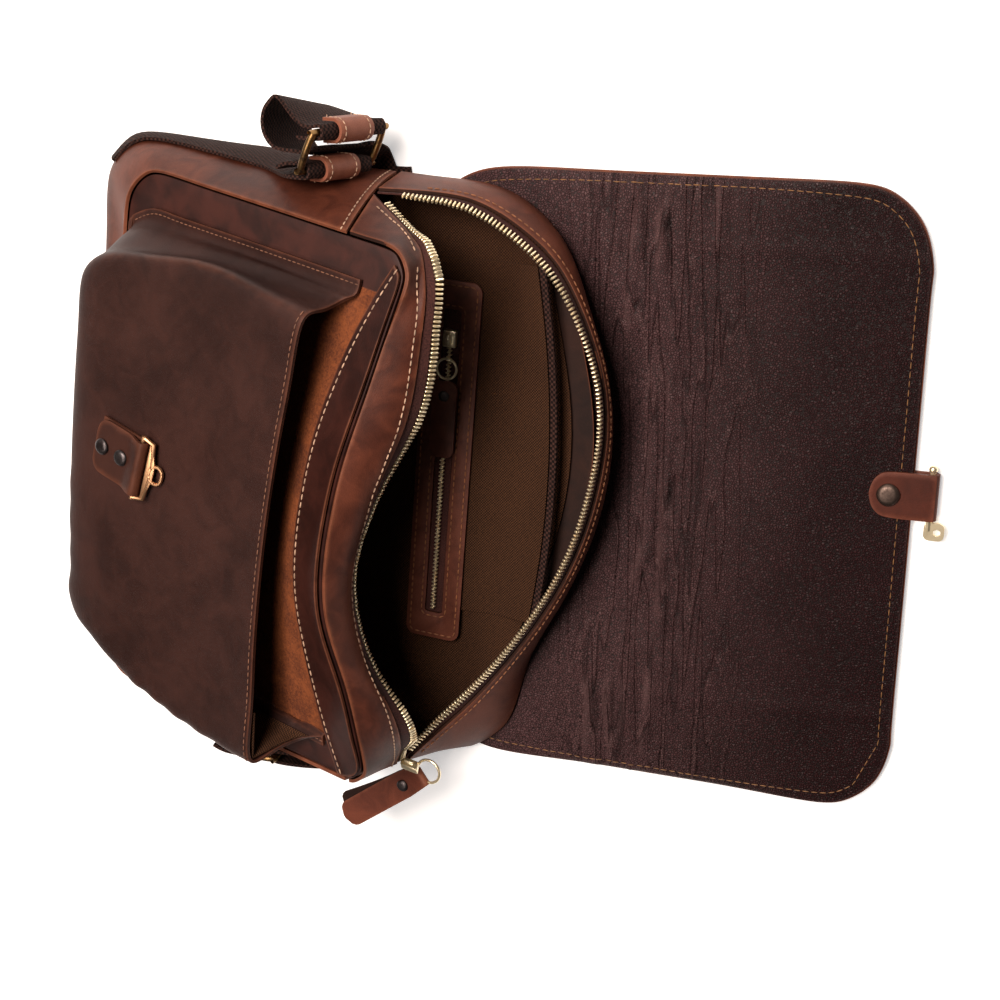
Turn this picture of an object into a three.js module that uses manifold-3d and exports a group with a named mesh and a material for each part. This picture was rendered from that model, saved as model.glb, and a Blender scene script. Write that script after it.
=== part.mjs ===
// A leather flap bag lying open on its back, with its flap laid out flat.
// Millimetres, +Z up. The bag's bottom is towards +Y, the flap's free end towards -Y,
// and the origin is on the underside of the flap, on its centre line.

import * as THREE from 'three';
import { mergeVertices } from 'three/addons/utils/BufferGeometryUtils.js';
import Module from 'manifold-3d';

const wasm = await Module();
wasm.setup();

// Driving dimensions
const LEATHER = 2.0;
const FLAP_LEATHER = 1.8;
const FLAP_LINING = 1.2;
const CANVAS = 0.8;
const YOKE_LEATHER = 1.6;
const GAP = 0.4;
const SEAM_GAP = 1.0;
const LINING_GAP = 1.2;
const FLAP_STACK = 7.3;

// Corners of the front panel as it lies racked and wedge-shaped over the back panel
const FRONT = {
  topLeft: [-165, 22, 100],
  topRight: [143, -10, 100],
  bottomLeft: [-143, 230, 42],
  bottomRight: [175, 185, 44],
  height: 205,
  halfWidth: 155,
  topRadius: { left: 17, right: 17 },
  bottomRadius: { left: 26, right: 26 },
};

// How the opened mouth pulls the top edge of the front panel, from +X (0) to -X (1)
const FRONT_PULL = [
  { across: 0.0, down: 0, lift: 0 },
  { across: 0.2, down: 14, lift: 7 },
  { across: 0.4, down: 25, lift: 20 },
  { across: 0.6, down: 24, lift: 29 },
  { across: 0.8, down: 9, lift: 17 },
  { across: 1.0, down: 0, lift: 0 },
];
const FRONT_PULL_REACH = 0.6;
const FRONT_PUFF = 5;

const BACK = {
  topLeft: [-179, -29, 0],
  topRight: [164, -56, 0],
  bottomLeft: [-168, 222, 0],
  bottomRight: [186, 224, 0],
  height: 262,
  halfWidth: 172,
  topRadius: { left: 38, right: 38 },
  bottomRadius: { left: 28, right: 28 },
};

// How far the opened mouth pulls the top edge of the back panel out, from +X (0) to -X (1)
const BACK_PULL = [
  { across: 0.0, out: 0 },
  { across: 0.12, out: 14 },
  { across: 0.38, out: 38 },
  { across: 0.58, out: 34 },
  { across: 0.82, out: 8 },
  { across: 1.0, out: 0 },
];
const BACK_RISE = { from: 128, to: 60 };

// Where the gusset ends and the zip strips begin, as a share of each panel's side
const SEAM = {
  right: { front: 0.2, back: 0.32 },
  left: { front: 0.06, back: 0.13 },
};
const GUSSET_BULGE = { right: 5, left: 0 };
const BOTTOM_FOLD = { out: 10, in: 8, lift: 2.1 };
const STRIP_BULGE = { front: 4, back: 5 };

// Leather edges of the two zip strips, from the +X end of the zip to its -X end
const FRONT_LIP = [
  { x: 140, y: -8, z: 82 },
  { x: 119, y: -16, z: 95 },
  { x: 98, y: -13, z: 97 },
  { x: 60, y: -6, z: 98 },
  { x: 8, y: 16, z: 101 },
  { x: -40, y: 28, z: 103 },
  { x: -84, y: 22, z: 101 },
  { x: -128, y: 5, z: 93 },
];
const BACK_LIP = [
  { x: 163, y: -22, z: 38 },
  { x: 133, y: -66, z: 35 },
  { x: 82, y: -91, z: 35 },
  { x: 42, y: -97, z: 35 },
  { x: -34, y: -81, z: 35 },
  { x: -114, y: -34, z: 36 },
];
const ZIP = { tapeThick: 0.9, teethRadius: 2.0, endTape: 1.2, spread: 0.055 };
const TEETH_GAP = { front: 1.5, back: 0.75 };
const TAPE_REACH = { front: 7.5, back: 3.5 };

const FLAP = {
  hinge: 25,
  height: 287,
  halfWidth: 179.5,
  topRadius: { left: 55, right: 55 },
  bottomRadius: { left: 42, right: 42 },
};
const STRAP = { half: 25, thick: 1.9, lie: 1.15 };
const FLAP_LIE = 2.4;
const RING = { halfLength: 28.6, across: 23.5, wire: 2.0, corner: 4 };
const LOOP_RADIUS = 3.5;
const KEEPER = { inner: 4.95, thick: 1.7, leg: 7, length: 26 };

// Small maths
const vec = (x, y, z) => new THREE.Vector3(x, y, z);
const mix = (a, b, t) => a + (b - a) * t;
const clamp01 = (t) => Math.min(Math.max(t, 0), 1);
const blend = (a, b, t) => a.clone().lerp(b, t);
const span = (count, from = 0, to = 1) =>
  Array.from({ length: count + 1 }, (_, i) => mix(from, to, i / count));

function smoothStep(from, to, x) {
  const t = clamp01((x - from) / (to - from));
  return t * t * (3 - 2 * t);
}

// A smooth reading of one column of a table at a value of its key column
function reading(table, key, column) {
  return (x) => {
    let i = 0;
    while (i < table.length - 2 && x > table[i + 1][key]) i += 1;
    const a = table[i];
    const b = table[i + 1];
    const before = table[Math.max(i - 1, 0)];
    const after = table[Math.min(i + 2, table.length - 1)];
    const width = b[key] - a[key];
    const slopeA = ((b[column] - before[column]) / (b[key] - before[key])) * width;
    const slopeB = ((after[column] - a[column]) / (after[key] - a[key])) * width;
    const t = clamp01((x - a[key]) / width);
    const t2 = t * t;
    const t3 = t2 * t;
    return a[column] * (2 * t3 - 3 * t2 + 1) + slopeA * (t3 - 2 * t2 + t)
      + b[column] * (3 * t2 - 2 * t3) + slopeB * (t3 - t2);
  };
}

// Closed solids from grids of points
function gridNormal(rows, i, j) {
  const last = rows.length - 1;
  const end = rows[0].length - 1;
  const along = rows[Math.min(i + 1, last)][j].clone().sub(rows[Math.max(i - 1, 0)][j]);
  const across = rows[i][Math.min(j + 1, end)].clone().sub(rows[i][Math.max(j - 1, 0)]);
  return along.cross(across).normalize();
}

function shifted(rows, distance) {
  return rows.map((row, i) => row.map((p, j) => p.clone().addScaledVector(gridNormal(rows, i, j), distance)));
}

function closedGeometry(points, triangles) {
  let volume = 0;
  for (const [a, b, c] of triangles) volume += points[a].dot(points[b].clone().cross(points[c]));
  const facing = volume < 0 ? triangles.map(([a, b, c]) => [a, c, b]) : triangles;
  const geometry = new THREE.BufferGeometry();
  const flat = points.flatMap((p) => [p.x, p.y, p.z]);
  geometry.setAttribute('position', new THREE.Float32BufferAttribute(flat, 3));
  geometry.setIndex(facing.flat());
  geometry.computeVertexNormals();
  return geometry;
}

// A sheet: the grid is one face, and the other lies a thickness away along its normals
function sheet(rows, thickness) {
  const depth = rows.length;
  const width = rows[0].length;
  const points = [...rows.flat(), ...shifted(rows, thickness).flat()];
  const near = (i, j) => i * width + j;
  const far = (i, j) => depth * width + near(i, j);
  const triangles = [];
  const quad = (a, b, c, d) => triangles.push([a, b, c], [a, c, d]);
  for (let i = 0; i < depth - 1; i += 1) {
    for (let j = 0; j < width - 1; j += 1) {
      quad(near(i, j), near(i, j + 1), near(i + 1, j + 1), near(i + 1, j));
      quad(far(i, j), far(i + 1, j), far(i + 1, j + 1), far(i, j + 1));
    }
    quad(near(i, 0), near(i + 1, 0), far(i + 1, 0), far(i, 0));
    quad(near(i + 1, width - 1), near(i, width - 1), far(i, width - 1), far(i + 1, width - 1));
  }
  for (let j = 0; j < width - 1; j += 1) {
    quad(near(0, j + 1), near(0, j), far(0, j), far(0, j + 1));
    quad(near(depth - 1, j), near(depth - 1, j + 1), far(depth - 1, j + 1), far(depth - 1, j));
  }
  return closedGeometry(points, triangles);
}

// A closed loop of round wire in the plane of the two directions given
function wireLoop(outline, normal, radius, sides = 8) {
  const count = outline.length;
  const points = [];
  const triangles = [];
  outline.forEach((p, i) => {
    const ahead = outline[(i + 1) % count].clone().sub(outline[(i + count - 1) % count]).normalize();
    const side = ahead.clone().cross(normal);
    for (let k = 0; k < sides; k += 1) {
      const turn = (k / sides) * 2 * Math.PI;
      points.push(p.clone().addScaledVector(side, radius * Math.cos(turn))
        .addScaledVector(normal, radius * Math.sin(turn)));
    }
    for (let k = 0; k < sides; k += 1) {
      const next = (i + 1) % count;
      const a = i * sides + k;
      const b = i * sides + ((k + 1) % sides);
      const c = next * sides + ((k + 1) % sides);
      const d = next * sides + k;
      triangles.push([a, b, c], [a, c, d]);
    }
  });
  return closedGeometry(points, triangles);
}

// Points of a rectangle with round corners, in the plane of two unit directions
function roundedLoop(centre, along, across, halfLength, halfWidth, radius, steps = 2) {
  const outline = [];
  const isRound = halfLength === radius && halfWidth === radius;
  const corners = [[1, 1, 0], [-1, 1, 90], [-1, -1, 180], [1, -1, 270]];
  for (const [sx, sy, start] of corners) {
    for (const step of isRound ? span(steps).slice(1) : span(steps)) {
      const turn = THREE.MathUtils.degToRad(start + 90 * step);
      outline.push(centre.clone()
        .addScaledVector(along, sx * (halfLength - radius) + radius * Math.cos(turn))
        .addScaledVector(across, sy * (halfWidth - radius) + radius * Math.sin(turn)));
    }
  }
  return outline;
}

function roundedShape(length, width, radius) {
  const shape = new THREE.Shape();
  const x = length / 2;
  const y = width / 2;
  shape.moveTo(-x + radius, -y);
  shape.lineTo(x - radius, -y);
  shape.absarc(x - radius, -y + radius, radius, -Math.PI / 2, 0);
  shape.lineTo(x, y - radius);
  shape.absarc(x - radius, y - radius, radius, 0, Math.PI / 2);
  shape.lineTo(-x + radius, y);
  shape.absarc(-x + radius, y - radius, radius, Math.PI / 2, Math.PI);
  shape.lineTo(-x, -y + radius);
  shape.absarc(-x + radius, -y + radius, radius, Math.PI, 1.5 * Math.PI);
  return shape;
}

function plate(shape, thick, curveSegments = 3) {
  return new THREE.ExtrudeGeometry(shape, { depth: thick, bevelEnabled: false, curveSegments });
}

// A bar of round section along an axis of its own, +Y, centred
function roundBar(radius, length, sides = 10) {
  return new THREE.CylinderGeometry(radius, radius, length, sides);
}

// A low dome for a rivet or cap, standing on z = 0
function dome(radius, height) {
  const profile = [[0, 0], [1, 0], [1, 0.4], [0.72, 0.86], [0, 1]];
  const points = profile.map(([r, h]) => new THREE.Vector2(r * radius, h * height));
  const geometry = new THREE.LatheGeometry(points, 10);
  geometry.rotateX(Math.PI / 2);
  return geometry;
}

// Metal soldered into one piece
function toSolid(geometry) {
  const bare = geometry.clone();
  bare.deleteAttribute('normal');
  bare.deleteAttribute('uv');
  const merged = mergeVertices(bare, 1e-4);
  return new wasm.Manifold(new wasm.Mesh({
    numProp: 3,
    vertProperties: new Float32Array(merged.attributes.position.array),
    triVerts: new Uint32Array(merged.index.array),
  }));
}

function fuse(...geometries) {
  const whole = geometries.map(toSolid).reduce((a, b) => a.add(b));
  const mesh = whole.getMesh();
  const geometry = new THREE.BufferGeometry();
  geometry.setAttribute('position', new THREE.Float32BufferAttribute(mesh.vertProperties, 3));
  geometry.setIndex([...mesh.triVerts]);
  geometry.computeVertexNormals();
  return geometry;
}

// Finishes
const FINISH = {
  leather: { color: 0x6b3b28, roughness: 0.6, metalness: 0 },
  darkLeather: { color: 0x472a21, roughness: 0.6, metalness: 0 },
  tanLeather: { color: 0x82492f, roughness: 0.6, metalness: 0 },
  flapLining: { color: 0x39262a, roughness: 0.5, metalness: 0 },
  canvas: { color: 0x6a5030, roughness: 0.9, metalness: 0 },
  tape: { color: 0x4d3236, roughness: 0.9, metalness: 0 },
  webbing: { color: 0x2e211f, roughness: 0.9, metalness: 0 },
  gold: { color: 0xd8b878, roughness: 0.3, metalness: 1 },
  antiqueBrass: { color: 0x6d5434, roughness: 0.4, metalness: 1 },
  gunmetal: { color: 0x4a4444, roughness: 0.4, metalness: 1 },
};

const bag = new THREE.Group();

function add(name, geometry, finish, parent = bag) {
  const mesh = new THREE.Mesh(geometry, new THREE.MeshStandardMaterial(FINISH[finish]));
  mesh.name = name;
  parent.add(mesh);
  return mesh;
}

// A group whose own X, Y and Z lie along three directions at a place on the bag
function placed(origin, alongX, alongY, parent = bag) {
  const group = new THREE.Group();
  const x = alongX.clone().normalize();
  const z = x.clone().cross(alongY).normalize();
  const y = z.clone().cross(x);
  group.quaternion.setFromRotationMatrix(new THREE.Matrix4().makeBasis(x, y, z));
  group.position.copy(origin);
  parent.add(group);
  return group;
}

// The two panels, as points of their outer faces.
// h runs from -1 at the -X edge to 1 at the +X edge, v from 0 at the mouth to 1 at the bottom.
function cornered(panel, h, v) {
  const side = h < 0 ? 'left' : 'right';
  const fromTop = v * panel.height;
  const fromBottom = (1 - v) * panel.height;
  const lost = (radius, d) => (d < radius ? radius - Math.sqrt(radius ** 2 - (radius - d) ** 2) : 0);
  const cut = lost(panel.topRadius[side], fromTop) + lost(panel.bottomRadius[side], fromBottom);
  return h * (1 - cut / panel.halfWidth);
}

function onCorners(panel, h, v) {
  const top = blend(vec(...panel.topLeft), vec(...panel.topRight), (h + 1) / 2);
  const bottom = blend(vec(...panel.bottomLeft), vec(...panel.bottomRight), (h + 1) / 2);
  return top.lerp(bottom, v);
}

const pullDown = reading(FRONT_PULL, 'across', 'down');
const pullLift = reading(FRONT_PULL, 'across', 'lift');

function frontPoint(h, v) {
  const side = cornered(FRONT, h, v);
  const p = onCorners(FRONT, side, v);
  const across = (1 - side) / 2;
  const fade = clamp01(1 - v / FRONT_PULL_REACH) ** 2;
  p.y += pullDown(across) * fade;
  p.z += pullLift(across) * fade + FRONT_PUFF * Math.sin(Math.PI * v) * (1 - side ** 2);
  return p;
}

const pullOut = reading(BACK_PULL, 'across', 'out');
const backRise = (y) => FLAP_STACK * smoothStep(BACK_RISE.from, BACK_RISE.to, y);

function backPoint(h, v) {
  const side = cornered(BACK, h, v);
  const p = onCorners(BACK, side, v);
  p.y -= pullOut((1 - side) / 2) * clamp01(1 - v / 0.5) ** 2;
  p.z = backRise(p.y);
  return p;
}

// Levels down a panel, close together where its corners are round
function panelLevels(panel, straight, round) {
  const corner = ({ left, right }) => span(round)
    .map((t) => (Math.max(left, right) / panel.height) * (1 - Math.cos((t * Math.PI) / 2)));
  const top = corner(panel.topRadius);
  const bottom = corner(panel.bottomRadius).map((v) => 1 - v).reverse();
  const middle = span(straight, top[round], bottom[0]).slice(1, -1);
  return [...top, ...middle, ...bottom];
}

function panelGrid(point, levels, columns) {
  return levels.map((v) => span(columns, -1, 1).map((h) => point(h, v)));
}

const CORNER_STEPS = 3;
const frontGrid = panelGrid(frontPoint, panelLevels(FRONT, 6, CORNER_STEPS), 14);
const backGrid = panelGrid(backPoint, panelLevels(BACK, 7, CORNER_STEPS), 9);
add('front_panel', sheet(frontGrid, LEATHER), 'leather');
add('back_panel', sheet(backGrid, -LEATHER), 'leather');

// Yoke: a strip along the top of the front panel, deepest in the middle
const YOKE = [
  { across: 0.0, depth: 6 },
  { across: 0.25, depth: 29 },
  { across: 0.5, depth: 38 },
  { across: 0.75, depth: 34 },
  { across: 1.0, depth: 17 },
];
const yokeDepth = reading(YOKE, 'across', 'depth');

function offFront(h, v, distance) {
  const step = 0.004;
  const right = frontPoint(Math.min(h + step, 1), v).sub(frontPoint(Math.max(h - step, -1), v));
  const down = frontPoint(h, Math.min(v + step, 1)).sub(frontPoint(h, Math.max(v - step, 0)));
  return frontPoint(h, v).addScaledVector(right.cross(down).normalize(), distance);
}

const yokeGrid = span(2).map((t) => span(16, -0.985, 0.985).map((h) => {
  const depth = yokeDepth((1 - h) / 2) / FRONT.height;
  return offFront(h, mix(0.004, depth, t), LINING_GAP);
}));
add('front_yoke', sheet(yokeGrid, -YOKE_LEATHER), 'leather');

// Gusset: one band round the sides and bottom, standing just outside both panels' edges
function sideLevels(panel, side, from, straight, round) {
  const start = 1 - panel.bottomRadius[side] / panel.height;
  const bend = span(round).slice(1).map((t) => mix(start, 1, Math.sin((t * Math.PI) / 2)));
  return [...span(straight, from, start), ...bend];
}

function rimPath(point, panel, fromLeft, fromRight) {
  const left = sideLevels(panel, 'left', fromLeft, 5, CORNER_STEPS).map((v) => point(-1, v));
  const bottom = span(10, -1, 1).slice(1, -1).map((h) => point(h, 1));
  const right = sideLevels(panel, 'right', fromRight, 5, CORNER_STEPS).map((v) => point(1, v)).reverse();
  return [...left, ...bottom, ...right];
}

// Direction out of a panel's edge, in the panel's own plane
function outward(path, normal) {
  return path.map((p, i) => {
    const ahead = path[Math.min(i + 1, path.length - 1)].clone().sub(path[Math.max(i - 1, 0)]);
    return normal.clone().cross(ahead).normalize();
  });
}

const UP = vec(0, 0, 1);
const seamStep = (2.2 * SEAM_GAP) / FRONT.height;
const frontRim = rimPath(frontPoint, FRONT, SEAM.left.front + seamStep, SEAM.right.front + seamStep);
const backRim = rimPath(backPoint, BACK, SEAM.left.back + seamStep, SEAM.right.back + seamStep);
const rimOut = outward(backRim, UP).map((out, i, all) => out.add(outward(frontRim, UP)[i]).normalize());
const rimCount = frontRim.length - 1;

// 1 along the bag's bottom, 0 on its sides
function atBottom(i) {
  return smoothStep(0.25, 0.42, i / rimCount) * smoothStep(0.75, 0.58, i / rimCount);
}

// How far the gusset stands out between its two seams: the sides swell, the bottom folds in
function gussetSwell(i, w) {
  const bulge = i < rimCount / 2 ? GUSSET_BULGE.left : GUSSET_BULGE.right;
  const side = bulge * 4 * w * (1 - w);
  const fold = BOTTOM_FOLD.out * Math.sin(Math.PI * clamp01(w / 0.5))
    - BOTTOM_FOLD.in * Math.sin(Math.PI * clamp01((w - 0.5) / 0.5)) ** 2;
  return mix(side, fold, atBottom(i));
}

function gussetPoint(i, w, inset) {
  const low = Math.floor(i);
  const high = Math.min(low + 1, rimCount);
  const at = (k) => blend(backRim[k], frontRim[k], w)
    .addScaledVector(rimOut[k], SEAM_GAP + gussetSwell(k, w) - inset)
    .addScaledVector(UP, BOTTOM_FOLD.lift * atBottom(k) * (1 - w) ** 4);
  return at(low).lerp(at(high), i - low);
}

const gussetGrid = span(rimCount, 0, rimCount).map((i) => span(6).map((w) => gussetPoint(i, w, 0)));
add('gusset_band', sheet(gussetGrid, -LEATHER), 'leather');

// Zip strips: leather walls from the panels' top edges to the lips of the mouth
function crownPath(point, panel, seam, columns) {
  const bend = (side) => span(CORNER_STEPS)
    .map((t) => (panel.topRadius[side] / panel.height) * (1 - Math.sin((t * Math.PI) / 2)))
    .filter((v) => v < seam[side] - 0.01);
  const sideRun = (side, h) => {
    const arc = bend(side);
    const straight = span(2, seam[side], arc[0]).slice(0, -1);
    return [...straight, ...arc].map((v) => point(h, v));
  };
  const right = sideRun('right', 1);
  const top = span(columns, 1, -1).slice(1, -1).map((h) => point(h, 0));
  const left = sideRun('left', -1).reverse();
  return [...right, ...top, ...left];
}

function shares(path) {
  const run = [0];
  for (let i = 1; i < path.length; i += 1) run.push(run[i - 1] + path[i].distanceTo(path[i - 1]));
  return run.map((d) => d / run[run.length - 1]);
}

function lipCurve(table, ends) {
  const middle = table.map((row) => vec(row.x, row.y, row.z));
  return new THREE.CatmullRomCurve3([ends[0], ...middle, ends[1]], false, 'centripetal');
}

const frontSeam = { left: SEAM.left.front, right: SEAM.right.front };
const backSeam = { left: SEAM.left.back, right: SEAM.right.back };
const zipEnds = (w) => [rimCount, 0].map((i) => gussetPoint(i, w, 0).add(vec(0, -1.5 * SEAM_GAP, 0)));

function stripGrid(path, curve, bulge, columns) {
  const out = outward(path, UP);
  const share = shares(path);
  return path.map((p, i) => {
    const start = p.clone().addScaledVector(out[i], SEAM_GAP + GAP);
    const lip = curve.getPointAt(share[i]);
    return span(columns).map((w) => blend(start, lip, w)
      .addScaledVector(out[i], bulge * 4 * w * (1 - w) * Math.sin(Math.PI * clamp01(share[i]))));
  });
}

const frontCrown = crownPath(frontPoint, FRONT, frontSeam, 14);
const backCrown = crownPath(backPoint, BACK, backSeam, 9);
const frontLip = lipCurve(FRONT_LIP, zipEnds(0.5 + ZIP.spread));
const backLip = lipCurve(BACK_LIP, zipEnds(0.5 - ZIP.spread));
const frontStripGrid = stripGrid(frontCrown, frontLip, STRIP_BULGE.front, 3);
const backStripGrid = stripGrid(backCrown, backLip, STRIP_BULGE.back, 3);
add('strip_front', sheet(frontStripGrid, LEATHER), 'leather');
add('strip_back', sheet(backStripGrid, -LEATHER), 'leather');

// Zip: a tape along each lip and a bead of teeth along each tape
function tapeGrid(strip, reach) {
  const width = (share) => mix(ZIP.endTape, reach, smoothStep(0, 0.12, share) * smoothStep(1, 0.88, share));
  const share = shares(strip.map((row) => row[row.length - 1]));
  return strip.map((row, i) => {
    const lip = row[row.length - 1];
    const ahead = lip.clone().sub(row[row.length - 2]).normalize();
    const from = 2 * GAP;
    return [from, from + width(share[i])].map((d) => lip.clone().addScaledVector(ahead, d));
  });
}

function teethPath(strip, tape, gap) {
  return tape.map((row, i) => {
    const ahead = row[1].clone().sub(row[0]).normalize();
    const face = gridNormal(strip, i, strip[0].length - 1);
    return row[1].clone().addScaledVector(ahead, gap + ZIP.teethRadius)
      .addScaledVector(face, ZIP.tapeThick / 2);
  });
}

function tube(points, radius, sides, steps) {
  const section = new THREE.Shape(span(sides).slice(0, -1).map((t) => new THREE.Vector2(
    radius * Math.cos(2 * Math.PI * t), radius * Math.sin(2 * Math.PI * t))));
  const extrudePath = new THREE.CatmullRomCurve3(points, false, 'centripetal');
  return new THREE.ExtrudeGeometry(section, { steps, extrudePath, bevelEnabled: false });
}

for (const [name, strip] of [['front', frontStripGrid], ['back', backStripGrid]]) {
  const tape = tapeGrid(strip, TAPE_REACH[name]);
  add(`zip_tape_${name}`, sheet(tape, ZIP.tapeThick), 'tape');
  const teeth = teethPath(strip, tape, TEETH_GAP[name]).slice(1, -1);
  add(`zip_teeth_${name}`, tube(teeth, ZIP.teethRadius, 5, 30), 'gold');
}

// Slider at the -X end of the zip, its ring and its leather pull
const zipEnd = gussetPoint(0, 0.5, 0);
const PULL = { length: 66, width: 17, thick: 2.4, ringRadius: 7.5, wire: 0.9, rivet: 3.6 };
const sliderGroup = placed(zipEnd.clone().add(vec(-3.6, -8, 3)), vec(0, 1, 0), vec(-0.25, 0, 1));
const sliderBody = new THREE.BoxGeometry(11, 8, 4.4);
const sliderBridge = new THREE.BoxGeometry(6, 3, 3).translate(0, 0, 3);
add('zip_slider', fuse(sliderBody, sliderBridge), 'gold', sliderGroup);
const pullFrom = zipEnd.clone().add(vec(-5.7, -18.8, -1.5));
const pullAhead = vec(-48.7, 64, -9).normalize();
const pullAcross = vec(0.1, 0, 1).cross(pullAhead).normalize();
const pullGroup = placed(pullFrom, pullAhead, pullAcross);
const ringX = vec(1, 0, 0);
const ringY = vec(0, 1, 0);
add('zip_pull_ring', wireLoop(roundedLoop(vec(0, 0, 0), ringX, ringY, PULL.ringRadius, PULL.ringRadius,
  PULL.ringRadius, 3), UP, PULL.wire, 5), 'gold', pullGroup);
const pullShape = roundedShape(PULL.length, PULL.width, 5.5);
const pullMiddle = PULL.ringRadius + PULL.wire + GAP + PULL.length / 2;
const pullTab = plate(pullShape, PULL.thick).translate(pullMiddle, 0, -PULL.thick / 2);
add('zip_pull_tab', pullTab, 'tanLeather', pullGroup);
add('zip_pull_rivet', dome(PULL.rivet, 1.6).translate(22, 0, PULL.thick / 2 + 0.3), 'gunmetal', pullGroup);

// Front pocket: a leather box on the front panel, with a row for each section from mouth to bottom.
// foot is where its flanges are sewn down, rx to rz and lx to lz are its long folds at +X and -X,
// and pleat is the inward fold of its sides.
const POCKET_SECTIONS = [
  { down: 0.0, foot: 0.125, rx: 110, ry: 41, rz: 122, lx: -149, ly: 84, lz: 121, pleat: 9, sag: 4, bow: 9 },
  { down: 0.2, foot: 0.29, rx: 120, ry: 78, rz: 109, lx: -147, ly: 112, lz: 109, pleat: 6, sag: 2, bow: 7 },
  { down: 0.42, foot: 0.49, rx: 128, ry: 112, rz: 98, lx: -139, ly: 150, lz: 96, pleat: 2, sag: 0, bow: 4 },
  { down: 0.7, foot: 0.75, rx: 127, ry: 157, rz: 86, lx: -122, ly: 188, lz: 86, pleat: 0, sag: -2, bow: 2 },
  { down: 0.88, foot: 0.89, rx: 124, ry: 188, rz: 78, lx: -107, ly: 210, lz: 80, pleat: 0, sag: -2, bow: 3 },
  { down: 1.0, foot: 0.965, rx: 114, ry: 204, rz: 71, lx: -90, ly: 230, lz: 71, pleat: 0, sag: -1, bow: 2 },
];
const POCKET = { flange: 0.88, flangeWidth: 0.05, footGap: 1.0, bottomRows: 3, faceColumns: 9 };
const pocketColumn = (column) => reading(POCKET_SECTIONS, 'down', column);
const pocketFoot = pocketColumn('foot');
const pocketPleat = pocketColumn('pleat');
const pocketSag = pocketColumn('sag');
const pocketBow = pocketColumn('bow');
const ridge = { right: ['rx', 'ry', 'rz'], left: ['lx', 'ly', 'lz'] };
const ridgeAt = Object.fromEntries(Object.entries(ridge).map(([side, names]) => {
  const columns = names.map(pocketColumn);
  return [side, (down) => vec(...columns.map((column) => column(down)))];
}));

// Side wall from the flange's outer edge to the ridge, dipping into its pleat on the way
function pocketSide(side, down) {
  const sign = side === 'right' ? 1 : -1;
  const v = pocketFoot(down);
  const outer = offFront(sign * POCKET.flange, v, POCKET.footGap);
  const inner = offFront(sign * (POCKET.flange - POCKET.flangeWidth), v, POCKET.footGap + 0.3);
  const top = ridgeAt[side](down);
  const wall = span(4).slice(1).map((t) => {
    const p = blend(inner, top, t);
    p.z -= pocketPleat(down) * Math.sin(Math.PI * t) ** 2;
    return p;
  });
  return [outer, inner, ...wall];
}

function pocketRow(down) {
  const right = pocketSide('right', down);
  const left = pocketSide('left', down).reverse();
  const from = ridgeAt.right(down);
  const to = ridgeAt.left(down);
  const face = span(POCKET.faceColumns).slice(1, -1).map((t) => {
    const p = blend(from, to, t);
    p.y += pocketBow(down) * Math.sin(Math.PI * t);
    p.z -= pocketSag(down) * Math.sin(Math.PI * t);
    return p;
  });
  return [...right, ...face, ...left];
}

const pocketTop = span(9).map(pocketRow);
const pocketEdge = pocketTop[pocketTop.length - 1];
const pocketBottom = span(POCKET.bottomRows).slice(1).map((t) => pocketEdge.map((p, j) => {
  const h = mix(POCKET.flange, -POCKET.flange, j / (pocketEdge.length - 1));
  const foot = offFront(h, mix(0.968, 0.985, t), POCKET.footGap);
  const q = blend(p, foot, t);
  const isFoot = Math.min(j, pocketEdge.length - 1 - j) < 2;
  if (!isFoot) q.y += 3 * Math.sin(Math.PI * t);
  return isFoot ? blend(p, foot, t) : q;
}));
const pocketGrid = [...pocketTop, ...pocketBottom];
add('pocket', sheet(shifted(pocketGrid, LEATHER), -LEATHER), 'darkLeather');

// Canvas inside the pocket's -X side
const pocketWidth = pocketGrid[0].length;
const pocketLiningGrid = pocketTop.slice(0, 5).map((row) => row.slice(pocketWidth - 7, pocketWidth - 2));
add('pocket_lining', sheet(shifted(pocketLiningGrid, -LINING_GAP), -CANVAS), 'canvas');

// Lining of the main space, and the slip pocket that lies on its back wall
const LINING_EDGE = 0.97;
const frontLevels = [0.015, 0.08, 0.17, 0.3, 0.45, 0.65, 0.97];
const insideFront = panelGrid((h, v) => offFront(h * LINING_EDGE, v, -LEATHER - LINING_GAP), frontLevels, 10);
add('lining_front', sheet(insideFront, CANVAS), 'canvas');
const backLining = (h, v) => backPoint(h * LINING_EDGE, v).add(vec(0, 0, LEATHER + LINING_GAP));
const insideBack = panelGrid(backLining, span(9, 0.03, 0.97), 6);
add('lining_back', sheet(insideBack, -CANVAS), 'canvas');
const bandEnd = 0.7;
const insideBand = span(15, bandEnd, rimCount - bandEnd).map((i) => span(2, 0.12, 0.88).map((w) => {
  const atBottom = smoothStep(0.25, 0.38, i / rimCount) * smoothStep(0.75, 0.62, i / rimCount);
  const inset = mix(LINING_GAP + 0.6, BOTTOM_FOLD.in + LEATHER, atBottom);
  return gussetPoint(i, w, inset + gussetSwell(i, w) * atBottom);
}));
add('lining_band', sheet(insideBand, CANVAS), 'canvas');

for (const [name, strip, inward] of [['front', frontStripGrid, -1], ['back', backStripGrid, 1]]) {
  const facing = strip.map((row) => row.slice(1));
  add(`lining_strip_${name}`, sheet(shifted(facing, inward * GAP), inward * CANVAS), 'canvas');
}

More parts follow.
